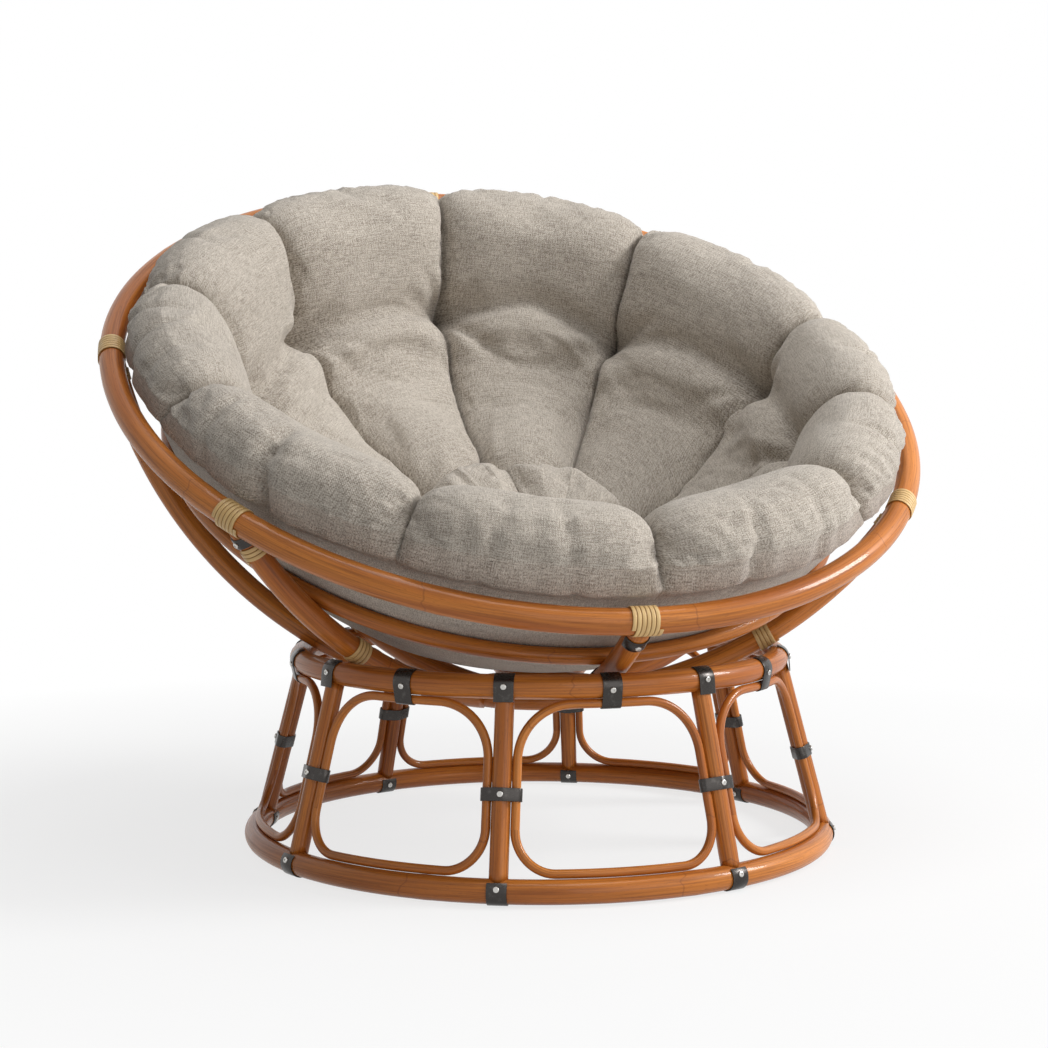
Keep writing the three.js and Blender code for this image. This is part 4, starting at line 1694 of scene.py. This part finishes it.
@dataclass(frozen=True)
class FoldSizes:
    """Sizes of the folds that the cover has gathered."""

    slit: float = 12 * MM
    slit_width: float = 3.2 * MM
    slit_start: float = 30 * MM
    slit_end: float = 0.85
    tucks: tuple[tuple[float, float, float], ...] = (
        (-53, 30, 12), (17, 15, 9), (-10, 11, 8), (29, 9, 8), (-90, 12, 9), (-98, 11, 8),
        (-64, 9, 8), (-20, 8, 7), (57, 12, 10), (84, 9, 9), (120, 10, 9), (160, 8, 9),
        (-160, 8, 8), (-125, 10, 8),
    )
    tuck_radius: float = 495 * MM
    tuck_above: float = 10 * MM
    tuck_below: float = 40 * MM
    tuck_open: tuple[float, float] = (-0.3, 0.3)
    tuck_close: tuple[float, float] = (0.9, 1.35)
    tuck_slant: tuple[float, float] = (-28 * MM, 22 * MM)
    tuck_widening: float = 0.7
    tuck_longest: float = 1.3
    tuck_lip: float = 0.35
    tuck_lip_width: float = 2.6
    pull_headings: tuple[float, ...] = (35, 78, 128, -38, -66, -125, -152)
    pull_swing: float = 14
    pull_least: float = 0.3
    pull_depth: float = 9 * MM
    pull_start: tuple[float, float] = (6 * MM, 20 * MM)
    pull_end: tuple[float, float] = (52 * MM, 96 * MM)
    pull_curve: float = 0.0022 / MM
    pull_width: float = 5 * MM
    pull_widening: float = 0.08
    pull_lip: float = 0.6
    pull_lip_width: float = 1.5
    pull_seed: int = 7
    pinch: float = 1.0 * MM
    pinch_on_edge: float = 3.2
    pinch_wave: float = 14 * MM
    pinch_width: float = 24 * MM
    edge_width: float = 75 * MM
    edge_radius: float = 500 * MM
    gather: float = 9 * MM
    gather_crest: float = 0.35
    gather_wave: tuple[float, float] = (27 * MM, 120 * MM)
    gather_slant: float = 0.35
    gather_width: float = 50 * MM
    gather_place: float = 18 * MM
    pucker: float = 2.0 * MM
    pucker_wave: tuple[float, float] = (10 * MM, 60 * MM)
    pucker_width: float = 15 * MM
    fade: float = 60 * MM
    seam_depth: float = 4.0 * MM
    seam_width: float = 3 * MM


@dataclass(frozen=True)
class ClothSizes:
    """How the cover is blown up round its filling."""

    frames: int = 12
    quality: int = 4
    pressure: float = 2.2
    mass: float = 0.35
    slack: float = 0.012
    stretch: float = 22.0
    bending: float = 1.6
    farthest: float = 4 * MM
    shear_share: float = 1 / 3
    crease_share: float = 0.45
    under_hold: float = 40 * MM
    crease_hold: float = 60 * MM
    seat_hold: float = 0.8
    line_hold: tuple[float, float] = (2 * MM, 1.5 * MM)
    tuft_hold: float = 9 * MM


class Section:
    """The cushion's outline in section, from its middle below round its edge to the top."""

    under_samples = 120
    landmarks = (2, 4, 6, 11)

    def __init__(self, sizes: CushionSizes, rim_drop: float) -> None:
        """Draws the outline as a fine row of points.

        Args:
            sizes: The cushion's sizes.
            rim_drop: How far the rim's plane lies below the centre.
        """
        edge = math.asin(sizes.under_edge / sizes.under_radius)
        polars = np.linspace(0.0, edge, self.under_samples)
        under = sizes.under_radius * np.stack([np.sin(polars), -np.cos(polars)], axis=1)
        upper = np.array(sizes.upper_mm, float) * MM - (0.0, rim_drop)
        self.points = np.concatenate([under, self.smoothed(np.vstack([under[-1:], upper]))[1:]])
        steps = np.hypot(*np.diff(self.points, axis=0).T)
        self.lengths = np.concatenate([[0.0], np.cumsum(steps)])
        self.ways = np.gradient(self.points, self.lengths, axis=0)
        runs = (self.nearest(upper[i]) for i in self.landmarks)
        self.seam, self.shoulder, self.crest, self.wall = runs
        self.total = float(self.lengths[-1])

    @staticmethod
    def smoothed(knots: np.ndarray, samples: int = 14) -> np.ndarray:
        """Draws a smooth line through knots.

        Args:
            knots: The points that it goes through.
            samples: How many points it has for each stretch.

        Returns:
            The line's points.
        """
        chords = np.hypot(*np.diff(knots, axis=0).T)
        slopes = np.gradient(knots, np.concatenate([[0.0], np.cumsum(chords)]), axis=0)
        slopes[-1] = (-1.0, 0.0)
        rows = [knots[:1]]
        for i, chord in enumerate(chords):
            t = np.linspace(0.0, 1.0, samples + 1)[1:, None]
            near = (2 * t**3 - 3 * t**2 + 1) * knots[i] + (t**3 - 2 * t**2 + t) * chord * slopes[i]
            far = (3 * t**2 - 2 * t**3) * knots[i + 1] + (t**3 - t**2) * chord * slopes[i + 1]
            rows.append(near + far)
        return np.concatenate(rows)

    def nearest(self, point: np.ndarray) -> float:
        """Gives the run at which the outline passes nearest a point."""
        return float(self.lengths[np.argmin(np.hypot(*(self.points - point).T))])

    def inside(self, radius: np.ndarray) -> np.ndarray:
        """Gives the run at which the outline, within its crest, is so far from the axis."""
        row = np.flatnonzero(self.lengths >= self.crest)[::-1]
        return np.interp(radius, self.points[row, 0], self.lengths[row])

    def at(self, run: np.ndarray) -> tuple[np.ndarray, np.ndarray]:
        """Gives the outline's points and the way out of the pad at some runs.

        Args:
            run: Distances along the outline.

        Returns:
            The points and the outward directions, as radius and height.
        """
        place = np.stack([np.interp(run, self.lengths, self.points[:, i]) for i in (0, 1)], axis=-1)
        way = np.stack([np.interp(run, self.lengths, self.ways[:, i]) for i in (0, 1)], axis=-1)
        way /= np.linalg.norm(way, axis=-1, keepdims=True)
        return place, np.stack([way[..., 1], -way[..., 0]], axis=-1)


def smoothstep(low: float, high: float, value: np.ndarray) -> np.ndarray:
    """Rises smoothly from 0 at low to 1 at high."""
    t = np.clip((value - low) / (high - low), 0.0, 1.0)
    return t * t * (3 - 2 * t)


def bell(value: np.ndarray, width: float) -> np.ndarray:
    """Gives 1 at 0 and falls off smoothly within a width to either side."""
    return np.exp(-((value / width) ** 2))


def rounded(across: np.ndarray, power: np.ndarray | float) -> np.ndarray:
    """Gives a puff's height over its width, 1 in its middle and 0 at its edges."""
    return (1 - np.minimum(across, 1.0) ** power) ** 0.5


def rough(*waves: np.ndarray, seed: float) -> np.ndarray:
    """Gives smooth noise, about -1 to 1, at places counted in the noise's own wavelengths."""
    points = np.stack(np.broadcast_arrays(*waves, seed), axis=-1)
    moves = ((p, Vector((p[-1], 2 * p[-1], -p[-1]))) for p in points)
    return np.array([noise.noise(Vector(p[:3]) + move) for p, move in moves])


@dataclass(frozen=True)
class Chart:
    """Where each vertex of the skin lies in its sewn pattern, and where it has settled."""

    run: np.ndarray
    along: np.ndarray
    settled: np.ndarray
    spoke: np.ndarray
    radius: np.ndarray
    turn: np.ndarray
    inside: np.ndarray
    place: np.ndarray
    out: np.ndarray
    pitch: float

    @property
    def across(self) -> np.ndarray:
        """0 on the middle of a panel and 1 on its creases."""
        share = self.spoke / self.pitch
        return np.abs(2 * (share - np.floor(share)) - 1)

    @property
    def across_pair(self) -> np.ndarray:
        """0 on every second crease and 1 on the others, for the lobes of the seat."""
        share = (self.spoke / self.pitch - 1) / 2
        return np.abs(2 * (share - np.floor(share)) - 1)

    @property
    def width(self) -> np.ndarray:
        """The panel's width here."""
        return self.radius * self.pitch

    @property
    def crease_number(self) -> np.ndarray:
        """Which crease is the nearest."""
        return np.round(self.spoke / self.pitch)

    @property
    def aside(self) -> np.ndarray:
        """Distance to the nearest crease, below 0 on one side of it."""
        return self.radius * (self.spoke - self.crease_number * self.pitch)

    @property
    def from_crease(self) -> np.ndarray:
        """Distance to the nearest crease."""
        return np.abs(self.aside)


class Cushion(SubAssembly):
    """The round pad: puffs between ten creases, two rings of tufts, and a sewn edge."""

    body = Body.CUSHION
    panel_shift = (0.613, 0.271)

    def __init__(
        self,
        placing: Placing,
        finishes: Finishes,
        bowl: BowlSizes,
        sizes: CushionSizes = CushionSizes(),
        folds: FoldSizes = FoldSizes(),
        cloth: ClothSizes = ClothSizes(),
    ) -> None:
        """Draws its section.

        Args:
            placing: Where the drum and the bowl stand.
            finishes: The chair's materials.
            bowl: Sizes of the bowl that it lies in.
            sizes: The cushion's sizes.
            folds: The sizes of its cover's folds.
            cloth: How its cover is blown up.
        """
        super().__init__(placing, finishes)
        self.sizes = sizes
        self.folds = folds
        self.cloth = cloth
        self.section = Section(sizes, bowl.rim_drop)

    def build(self) -> None:
        """Makes the pad and the thread of its edge seam."""
        mesh = self.drawn()
        chart = self.chart(mesh)
        self.weave(mesh, chart)
        skin = self.shaped(chart)
        skin = self.blown_up(mesh, chart, skin)
        skin += self.on_axis(chart, chart.out) * self.folded(chart)[:, None]
        place = self.placing.bowl
        for vert, point in zip(mesh.verts, skin):
            vert.co = place @ Vector(point)
        bmesh.ops.recalc_face_normals(mesh, faces=mesh.faces[:])
        mesh.normal_update()
        self.thread(mesh, chart)
        pad = self.finish("cushion", mesh, self.finishes.tweed, Slot.TWEED, nodes=("cushion",))

    def drawn(self) -> bmesh.types.BMesh:
        """Draws a ball whose rows and spokes become the cushion's."""
        sizes = self.sizes
        share = 1.0
        spokes = round(sizes.spokes_per_panel * share) * sizes.channels
        rows = round(sizes.rows * share)
        mesh = bmesh.new()
        bmesh.ops.create_uvsphere(mesh, u_segments=spokes, v_segments=rows, radius=1.0)
        return mesh

    def chart(self, mesh: bmesh.types.BMesh) -> Chart:
        """Turns the ball's vertices into places on the cushion, crowded beside the creases."""
        sizes, section = self.sizes, self.section
        ball = np.array([v.co for v in mesh.verts])
        level = 1 - np.arccos(np.clip(ball[:, 2], -1.0, 1.0)) / math.pi
        foot = section.wall + sizes.wall_height
        stops = (0.0, section.seam, section.crest, section.wall, foot, section.total)
        run = np.interp(level, sizes.row_shares, stops)
        turns = np.arctan2(ball[:, 0], -ball[:, 1]) / sizes.pitch
        share = turns - np.floor(turns + TINY)
        crowded = share - sizes.crowding * np.sin(FULL_TURN * share) / FULL_TURN
        spoke = (np.floor(turns + TINY) + crowded) * sizes.pitch
        radius = section.at(run)[0][:, 0]
        wandered = spoke + np.radians(self.by_crease(spoke, sizes.wander))
        inside = run > section.crest
        forward = sizes.drift * (1 - smoothstep(0.0, sizes.drift_reach, radius)) * inside
        east, north = radius * np.sin(wandered), -radius * np.cos(wandered) - forward
        settled = np.where(inside, section.inside(np.hypot(east, north)), run)
        place, out = section.at(settled)
        along = run - forward * np.cos(wandered)
        turn = np.arctan2(east, -north)
        return Chart(run, along, settled, spoke, radius, turn, inside, place, out, sizes.pitch)

    def weave(self, mesh: bmesh.types.BMesh, chart: Chart) -> None:
        """Lays the cloth of each panel flat, in metres: across the panel and along its middle."""
        layer = mesh.loops.layers.uv.new(WEAVE)
        mesh.verts.index_update()
        for face in mesh.faces:
            wide = [v.index for v in face.verts if chart.radius[v.index] > MM]
            first = chart.spoke[wide[0]]
            turned = [first + math.remainder(chart.spoke[i] - first, FULL_TURN) for i in wide]
            panel = math.floor(sum(turned) / len(turned) / chart.pitch)
            middle = (panel + 0.5) * chart.pitch
            east, north = (panel * shift for shift in self.panel_shift)
            for corner in face.loops:
                i = corner.vert.index
                away = math.remainder(chart.spoke[i] - middle, FULL_TURN)
                corner[layer].uv = (east + away * chart.radius[i], north + chart.along[i])

    def by_crease(
        self, spoke: np.ndarray, values: Sequence[float], ahead: float = 0.0
    ) -> np.ndarray:
        """Spreads values that are given for each crease, or for each panel after it, over the skin.

        Args:
            spoke: The angle of each vertex in the pattern.
            values: The values, from the front crease on.
            ahead: How far beyond its crease each value applies, in panels.

        Returns:
            The value at each vertex.
        """
        creases = np.arange(-self.sizes.channels, self.sizes.channels + 1)
        known = np.take(values, creases % self.sizes.channels)
        return np.interp(spoke / self.sizes.pitch, creases + ahead, known)

    @staticmethod
    def on_axis(chart: Chart, flat: np.ndarray) -> np.ndarray:
        """Turns radius and height at each vertex into X, Y and Z about the cushion's axis."""
        reach, height = flat.T
        return np.stack([reach * np.sin(chart.turn), -reach * np.cos(chart.turn), height], axis=1)

    def outer_ring(self, chart: Chart) -> np.ndarray:
        """Gives how far up the wall each vertex lies above the outer tufts."""
        tufts = self.by_crease(chart.spoke, self.sizes.tufts_mm) * MM
        return self.section.crest + tufts - chart.settled

    def inner_ring(self, chart: Chart) -> np.ndarray:
        """Gives how far outside the seat's tufts each vertex lies."""
        return self.sizes.ring_stretch * (chart.radius - self.sizes.inner_ring)

    def shaped(self, chart: Chart) -> np.ndarray:
        """Gives the skin's points about the bowl's centre, before the cloth is blown up."""
        sizes, section = self.sizes, self.section
        brim = sizes.inner_ring + sizes.seat_brim
        seat = smoothstep(brim, brim - sizes.seat_slope, chart.radius) * chart.inside
        relief = self.soft(chart) - self.channel(chart) + sizes.seat_rise * seat
        arches = self.by_crease(chart.spoke, sizes.arches_mm, 0.5) * MM
        relief -= self.tufted(chart, self.outer_ring(chart), arches)
        relief -= sizes.inner_share * self.tufted(chart, self.inner_ring(chart), sizes.inner_arch)
        point = chart.place + chart.out * np.maximum(relief, -sizes.deepest)[:, None]
        fade = sizes.slip_fade
        slipped = smoothstep(section.seam - sizes.seam_fade, section.seam + 8 * MM, chart.run)
        slipped *= 1 - smoothstep(section.crest + fade, section.wall + fade, chart.run)
        point[:, 1] += sizes.slip * slipped * np.cos(chart.turn)
        return self.on_axis(chart, point)

    def soft(self, chart: Chart) -> np.ndarray:
        """Gives the filling's soft unevenness."""
        wave = self.sizes.uneven_wave
        east, north = chart.radius * np.sin(chart.spoke), chart.radius * np.cos(chart.spoke)
        return self.sizes.uneven * rough(east / wave, north / wave, chart.run / wave, seed=8.0)

    def channel(self, chart: Chart) -> np.ndarray:
        """Gives how far the skin lies below the tops of its puffs, most in the creases."""
        sizes, section = self.sizes, self.section
        on_crest = bell(chart.run - section.crest, sizes.crest_reach)
        panel = rounded(chart.across, sizes.panel_power + sizes.crest_power * on_crest)
        lobe = rounded(chart.across_pair, sizes.lobe_power)
        brim = sizes.inner_ring + sizes.seat_brim
        on_seat = 1 - smoothstep(brim - sizes.lobe_fade, brim, chart.radius)
        puff = panel + (lobe - panel) * on_seat * chart.inside
        fullness = np.clip(chart.width / sizes.full_width, sizes.least_width, 1.0) ** 0.5
        facing = (0.5 + 0.5 * np.cos(chart.turn)) ** 2
        facing = sizes.outer_share + (1 - sizes.outer_share) * facing
        near, far = sizes.outer_fade
        outer = 1 - smoothstep(section.crest + near, section.crest + far, chart.run)
        depth = sizes.crease * fullness * (1 + (facing - 1) * outer)
        rising = smoothstep(section.seam - sizes.seam_fade, section.shoulder, chart.run)
        rising *= np.where(chart.inside, smoothstep(0.0, sizes.middle, chart.radius), 1.0)
        return depth * rising * (1 - puff)

    def tufted(self, chart: Chart, along: np.ndarray, arch: np.ndarray | float) -> np.ndarray:
        """Gives how far one ring of tufts draws the skin in, with the valley between them.

        Args:
            chart: Where each vertex lies.
            along: How far it lies outside the ring of tufts.
            arch: How far the valley rises towards the edge between two tufts.

        Returns:
            The depth.
        """
        sizes = self.sizes
        away = np.hypot(along, chart.aside)
        core = sizes.tuft_depth * np.exp(-away / sizes.tuft_core)
        pull = sizes.tuft_pull * bell(away, sizes.tuft_spread)
        arched = along - arch * (1 - chart.across**sizes.arch_power)
        near = sizes.valley_share + (1 - sizes.valley_share) * bell(chart.aside, sizes.valley_reach)
        width = sizes.valley_width * np.where(arched > 0, sizes.valley_above, 1.0)
        valley = sizes.valley * near * bell(arched, width)
        swelling = arched + sizes.pillow_place * sizes.valley_width
        pillow = sizes.pillow * bell(swelling, sizes.pillow_width * sizes.valley_width)
        return (core + pull + valley - pillow) * chart.inside

    def folded(self, chart: Chart) -> np.ndarray:
        """Gives the relief of the cover's slits, tucks, puckers and folds from the tufts."""
        sizes, folds, section = self.sizes, self.folds, self.section
        shown = smoothstep(section.seam - folds.slit_start, section.shoulder, chart.run)
        ending = smoothstep(folds.slit_end * sizes.inner_ring, sizes.inner_ring, chart.radius)
        shown *= np.where(chart.inside, ending, 1.0)
        relief = -folds.slit * shown * np.exp(-chart.from_crease / folds.slit_width)
        rings = ((self.outer_ring(chart), 1.0), (self.inner_ring(chart), sizes.inner_share))
        for along, share in rings:
            relief -= share * chart.inside * self.pulled(chart, along)
        return relief - self.tucked(chart) + self.puckered(chart)

    def tucked(self, chart: Chart) -> np.ndarray:
        """Gives the tucks down the outer side: slanted folds that open towards the seam."""
        folds, section = self.folds, self.section
        height = section.crest - section.seam + folds.tuck_below
        side = (section.crest + folds.tuck_above - chart.run) / height
        shown = smoothstep(*folds.tuck_open, side) * (1 - smoothstep(*folds.tuck_close, side))
        widening = folds.tuck_widening * (1 + np.clip(side, 0.0, folds.tuck_longest))
        drawn = np.zeros(len(chart.run))
        for i, (angle, depth, width) in enumerate(folds.tucks):
            turned = chart.turn - math.radians(angle)
            away = folds.tuck_radius * np.arctan2(np.sin(turned), np.cos(turned))
            away += folds.tuck_slant[i % 2] * (side - 0.5)
            lip = folds.tuck_lip * bell(away, folds.tuck_lip_width * width * MM * widening)
            drawn += depth * MM * (np.exp(-np.abs(away) / (width * MM * widening)) - lip) * shown
        return drawn

    def pulled(self, chart: Chart, along: np.ndarray) -> np.ndarray:
        """Gives the folds that run out from the tufts, each a narrow groove beside a soft ridge.

        Args:
            chart: Where each vertex lies.
            along: How far it lies outside the ring of tufts.

        Returns:
            The depth.
        """
        folds = self.folds
        away = np.hypot(along, chart.aside)
        angle = np.arctan2(along, chart.aside)
        reach = smoothstep(*folds.pull_start, away) * (1 - smoothstep(*folds.pull_end, away))
        spread = folds.pull_width + folds.pull_widening * away
        drawn = np.zeros(len(away))
        chance = random.Random(folds.pull_seed)
        half = self.sizes.channels // 2
        for number in range(-half, half + 1):
            mine = reach * (chart.crease_number == number)
            for heading in folds.pull_headings:
                heading += chance.uniform(-folds.pull_swing, folds.pull_swing)
                strength = chance.uniform(folds.pull_least, 1.0) * folds.pull_depth
                turned = angle - math.radians(heading)
                side = np.where(np.cos(turned) > 0, away * np.sin(turned), 1.0)
                side -= folds.pull_curve * away**2 * chance.uniform(-1, 1)
                lip = folds.pull_lip * bell(side - 2 * spread, folds.pull_lip_width * spread)
                drawn += mine * strength * (bell(side, spread) - lip)
        return drawn

    def puckered(self, chart: Chart) -> np.ndarray:
        """Gives the cover's small folds: beside the creases, and gathered along the seam."""
        folds, section = self.folds, self.section
        arc = chart.turn * folds.edge_radius
        side = np.sign(chart.aside)
        pinch = rough(chart.run / folds.pinch_wave, side, chart.crease_number * 1.7, seed=3.0)
        on_edge = bell(chart.run - (section.shoulder + section.crest) / 2, folds.edge_width)
        pinch *= folds.pinch * (1 + folds.pinch_on_edge * on_edge)
        relief = pinch * bell(chart.from_crease, folds.pinch_width)
        by_seam = chart.run - section.seam
        above = by_seam - folds.gather_place
        wide, tall = folds.gather_wave
        gather = rough((arc + folds.gather_slant * above) / wide, chart.run / tall, seed=5.0)
        lower = smoothstep(section.seam - folds.fade, section.seam, chart.run)
        gather = folds.gather * (folds.gather_crest - np.abs(gather))
        relief += gather * bell(above, folds.gather_width) * lower
        wide, tall = folds.pucker_wave
        pucker = rough(arc / wide, chart.run / tall, seed=6.0)
        relief += folds.pucker * pucker * bell(by_seam, folds.pucker_width)
        return relief * lower - folds.seam_depth * bell(by_seam, folds.seam_width)

    def blown_up(self, mesh: bmesh.types.BMesh, chart: Chart, skin: np.ndarray) -> np.ndarray:
        """Blows the cover up as cloth, held at its creases, tufts, seam and underside.

        Args:
            mesh: The skin's faces.
            chart: Where each vertex lies.
            skin: The points before.

        Returns:
            The points after.
        """
        cloth = self.cloth
        for vert, point in zip(mesh.verts, skin):
            vert.co = point
        data = bpy.data.meshes.new("cover")
        mesh.to_mesh(data)
        cover = placed("cover", data)
        group = cover.vertex_groups.new(name="held")
        for i, weight in enumerate(self.held(chart)):
            if weight > 0:
                group.add([i], float(weight), "REPLACE")
        sim = cover.modifiers.new("cloth", "CLOTH")
        settings = sim.settings
        settings.quality = cloth.quality
        settings.mass = cloth.mass
        settings.tension_stiffness = settings.compression_stiffness = cloth.stretch
        settings.shear_stiffness = cloth.stretch * cloth.shear_share
        settings.bending_stiffness = cloth.bending
        settings.shrink_min = -cloth.slack
        settings.use_pressure = True
        settings.uniform_pressure_force = cloth.pressure
        settings.vertex_group_mass = "held"
        settings.effector_weights.gravity = 0.0
        sim.point_cache.frame_start = 1
        sim.point_cache.frame_end = cloth.frames
        scene = bpy.context.scene
        for frame_number in range(1, cloth.frames + 1):
            scene.frame_set(frame_number)
        after = np.zeros(len(skin) * 3)
        shown = cover.evaluated_get(bpy.context.evaluated_depsgraph_get())
        shown.data.vertices.foreach_get("co", after)
        scene.frame_set(1)
        bpy.data.objects.remove(cover)
        moved = after.reshape(-1, 3) - skin
        far = np.linalg.norm(moved, axis=1, keepdims=True)
        most = np.minimum(cloth.farthest, cloth.crease_share * chart.from_crease)[:, None]
        moved *= np.minimum(1.0, most / np.maximum(far, TINY * MM))
        LOG.info("cloth: moved %.1f mm at most, %.1f on average", far.max() / MM, far.mean() / MM)
        return skin + moved

    def held(self, chart: Chart) -> np.ndarray:
        """Gives how firmly each vertex is held while the cover is blown up."""
        cloth, seam = self.cloth, self.section.seam
        on_seam, on_crease = cloth.line_hold
        held = (chart.run < seam - cloth.under_hold) | (np.abs(chart.run - seam) < on_seam)
        kept = (chart.radius > cloth.seat_hold * self.sizes.inner_ring) | ~chart.inside
        held |= (chart.run > seam - cloth.crease_hold) & kept & (chart.from_crease < on_crease)
        for along in (self.outer_ring(chart), self.inner_ring(chart)):
            held |= chart.inside & (np.hypot(along, chart.aside) < cloth.tuft_hold)
        return held.astype(float)

    def thread(self, mesh: bmesh.types.BMesh, chart: Chart) -> None:
        """Sews the edge seam with a thread that lies on the skin's seam row."""
        nearest = np.abs(chart.run - self.section.seam)
        row = np.flatnonzero(nearest < nearest.min() + 0.01 * MM)
        row = row[np.argsort(chart.spoke[row] % FULL_TURN)]
        mesh.verts.ensure_lookup_table()
        normals = [mesh.verts[i].normal.copy() for i in row]
        radius = self.sizes.thread
        points = [mesh.verts[i].co + normal * radius for i, normal in zip(row, normals)]
        route = RowRoute(points, normals)
        stock = Stock.pole(route.length, radius, 4 * MM, 6, closed=True)
        stock.marked(0.0).bent(route)
        self.finish("edge_seam", stock.mesh, self.finishes.thread, Slot.TWEED)


# The studio and its camera


@dataclass(frozen=True)
class Lamp:
    """A square area light: its name, its place, its power in watts and its side in metres."""

    name: str
    place: Triple
    power: float
    size: float


@dataclass(frozen=True)
class Studio:
    """A white room with a soft key light from the right, and the photograph's camera."""

    floor_size: float = 16.0
    near: float = 0.7
    far: float = 1.5
    floor_white: float = 0.8
    floor_glow: float = 0.76
    ambient: float = 0.17
    lamps: tuple[Lamp, ...] = (
        Lamp("key", (3.0, -1.2, 2.0), 104.0, 1.1),
        Lamp("top", (0.2, -0.3, 3.2), 44.0, 2.0),
        Lamp("fill", (0.8, -3.4, 1.2), 24.0, 2.6),
    )
    aim: Triple = (0.0, -0.05, 0.42)
    camera_place: Triple = (-0.8179, -2.4898, 0.5556)
    camera_aim: Triple = (-0.0178, -0.0858, 0.400)
    lens_mm: float = 68.70
    sensor_mm: float = 36.0

    def seen(self, tree: bpy.types.NodeTree) -> bpy.types.NodeSocket:
        """Gives 1 for rays that show the background: seen, mirrored or through glass."""
        path = tree.nodes.new("ShaderNodeLightPath")
        total = path.outputs["Is Camera Ray"]
        for name in ("Is Glossy Ray", "Is Transmission Ray"):
            add = tree.nodes.new("ShaderNodeMath")
            add.operation = "MAXIMUM"
            tree.links.new(total, add.inputs[0])
            tree.links.new(path.outputs[name], add.inputs[1])
            total = add.outputs[0]
        return total

    def room(self) -> None:
        """Makes the sky: white where it is seen, and an even ambient light elsewhere."""
        world = bpy.data.worlds.new("room")
        bpy.context.scene.world = world
        world.use_nodes = True
        tree = world.node_tree
        tree.nodes.clear()
        ambient, white = (tree.nodes.new("ShaderNodeBackground") for _ in range(2))
        ambient.inputs["Strength"].default_value = self.ambient
        for node in (ambient, white):
            node.inputs["Color"].default_value = (1.0, 1.0, 1.0, 1.0)
        mix = tree.nodes.new("ShaderNodeMixShader")
        tree.links.new(self.seen(tree), mix.inputs[0])
        tree.links.new(ambient.outputs[0], mix.inputs[1])
        tree.links.new(white.outputs[0], mix.inputs[2])
        output = tree.nodes.new("ShaderNodeOutputWorld")
        tree.links.new(mix.outputs[0], output.inputs["Surface"])

    def floor(self) -> None:
        """Makes the floor, which takes the chair's shadow near it and fades to plain white."""
        mesh = bmesh.new()
        bmesh.ops.create_grid(mesh, x_segments=1, y_segments=1, size=self.floor_size / 2)
        data = bpy.data.meshes.new("floor")
        mesh.to_mesh(data)
        mesh.free()
        bench = NodeBench("floor_white")
        white = (self.floor_white,) * 3 + (1.0,)
        bench.wear(Base_Color=white, Roughness=1.0, Specular_IOR_Level=0.0)
        place = bench.add("TexCoord").outputs["Object"]
        length = bench.add("VectorMath", operation="LENGTH")
        bench.join(place, length.inputs[0])
        edge = bench.spread(length.outputs["Value"], self.near, self.far, self.floor_glow, 1.0)
        share = bench.math("MULTIPLY", edge, self.seen(bench.tree))
        glow = bench.add("Emission")
        mix = bench.add("MixShader")
        bench.join(share, mix.inputs[0])
        bench.join(bench.shader.outputs[0], mix.inputs[1])
        bench.join(glow.outputs[0], mix.inputs[2])
        bench.join(mix.outputs[0], bench.tree.nodes["Material Output"].inputs["Surface"])
        data.materials.append(bench.material)
        placed("floor", data)

    def light(self, lamp: Lamp) -> None:
        """Hangs an area light that faces the chair."""
        data = bpy.data.lights.new(lamp.name, "AREA")
        data.energy = lamp.power
        data.size = lamp.size
        self.face(placed(lamp.name, data), lamp.place, self.aim)

    @staticmethod
    def face(thing: bpy.types.Object, place: Sequence[float], aim: Sequence[float]) -> None:
        """Puts a light or a camera somewhere and turns it to a point."""
        way = Vector(aim) - Vector(place)
        thing.location = place
        thing.rotation_euler = way.to_track_quat("-Z", "Y").to_euler()

    def camera(self) -> None:
        """Makes the camera."""
        data = bpy.data.cameras.new("photo")
        data.lens = self.lens_mm
        data.sensor_width = self.sensor_mm
        camera = placed("photo", data)
        self.face(camera, self.camera_place, self.camera_aim)
        bpy.context.scene.camera = camera

    def build(self) -> None:
        """Sets up the room, the floor, the lights and the camera."""
        bpy.context.scene.view_settings.view_transform = "Standard"
        self.room()
        self.floor()
        for lamp in self.lamps:
            self.light(lamp)
        self.camera()


def main() -> None:
    """Builds the chair, its studio and its camera."""
    logging.basicConfig(level=logging.INFO, format="%(message)s")
    finishes = Finishes()
    base_sizes = BaseSizes()
    bowl_sizes = BowlSizes()
    placing = Placing.of_frame(base_sizes.turn)
    groups: tuple[SubAssembly, ...] = (
        Base(placing, finishes, base_sizes),
        Bowl(placing, finishes, base_sizes, bowl_sizes),
        Cushion(placing, finishes, bowl_sizes),
    )
    for group in groups:
        group.build()
        group.report()
    Studio().build()


if __name__ == "__main__":
    main()
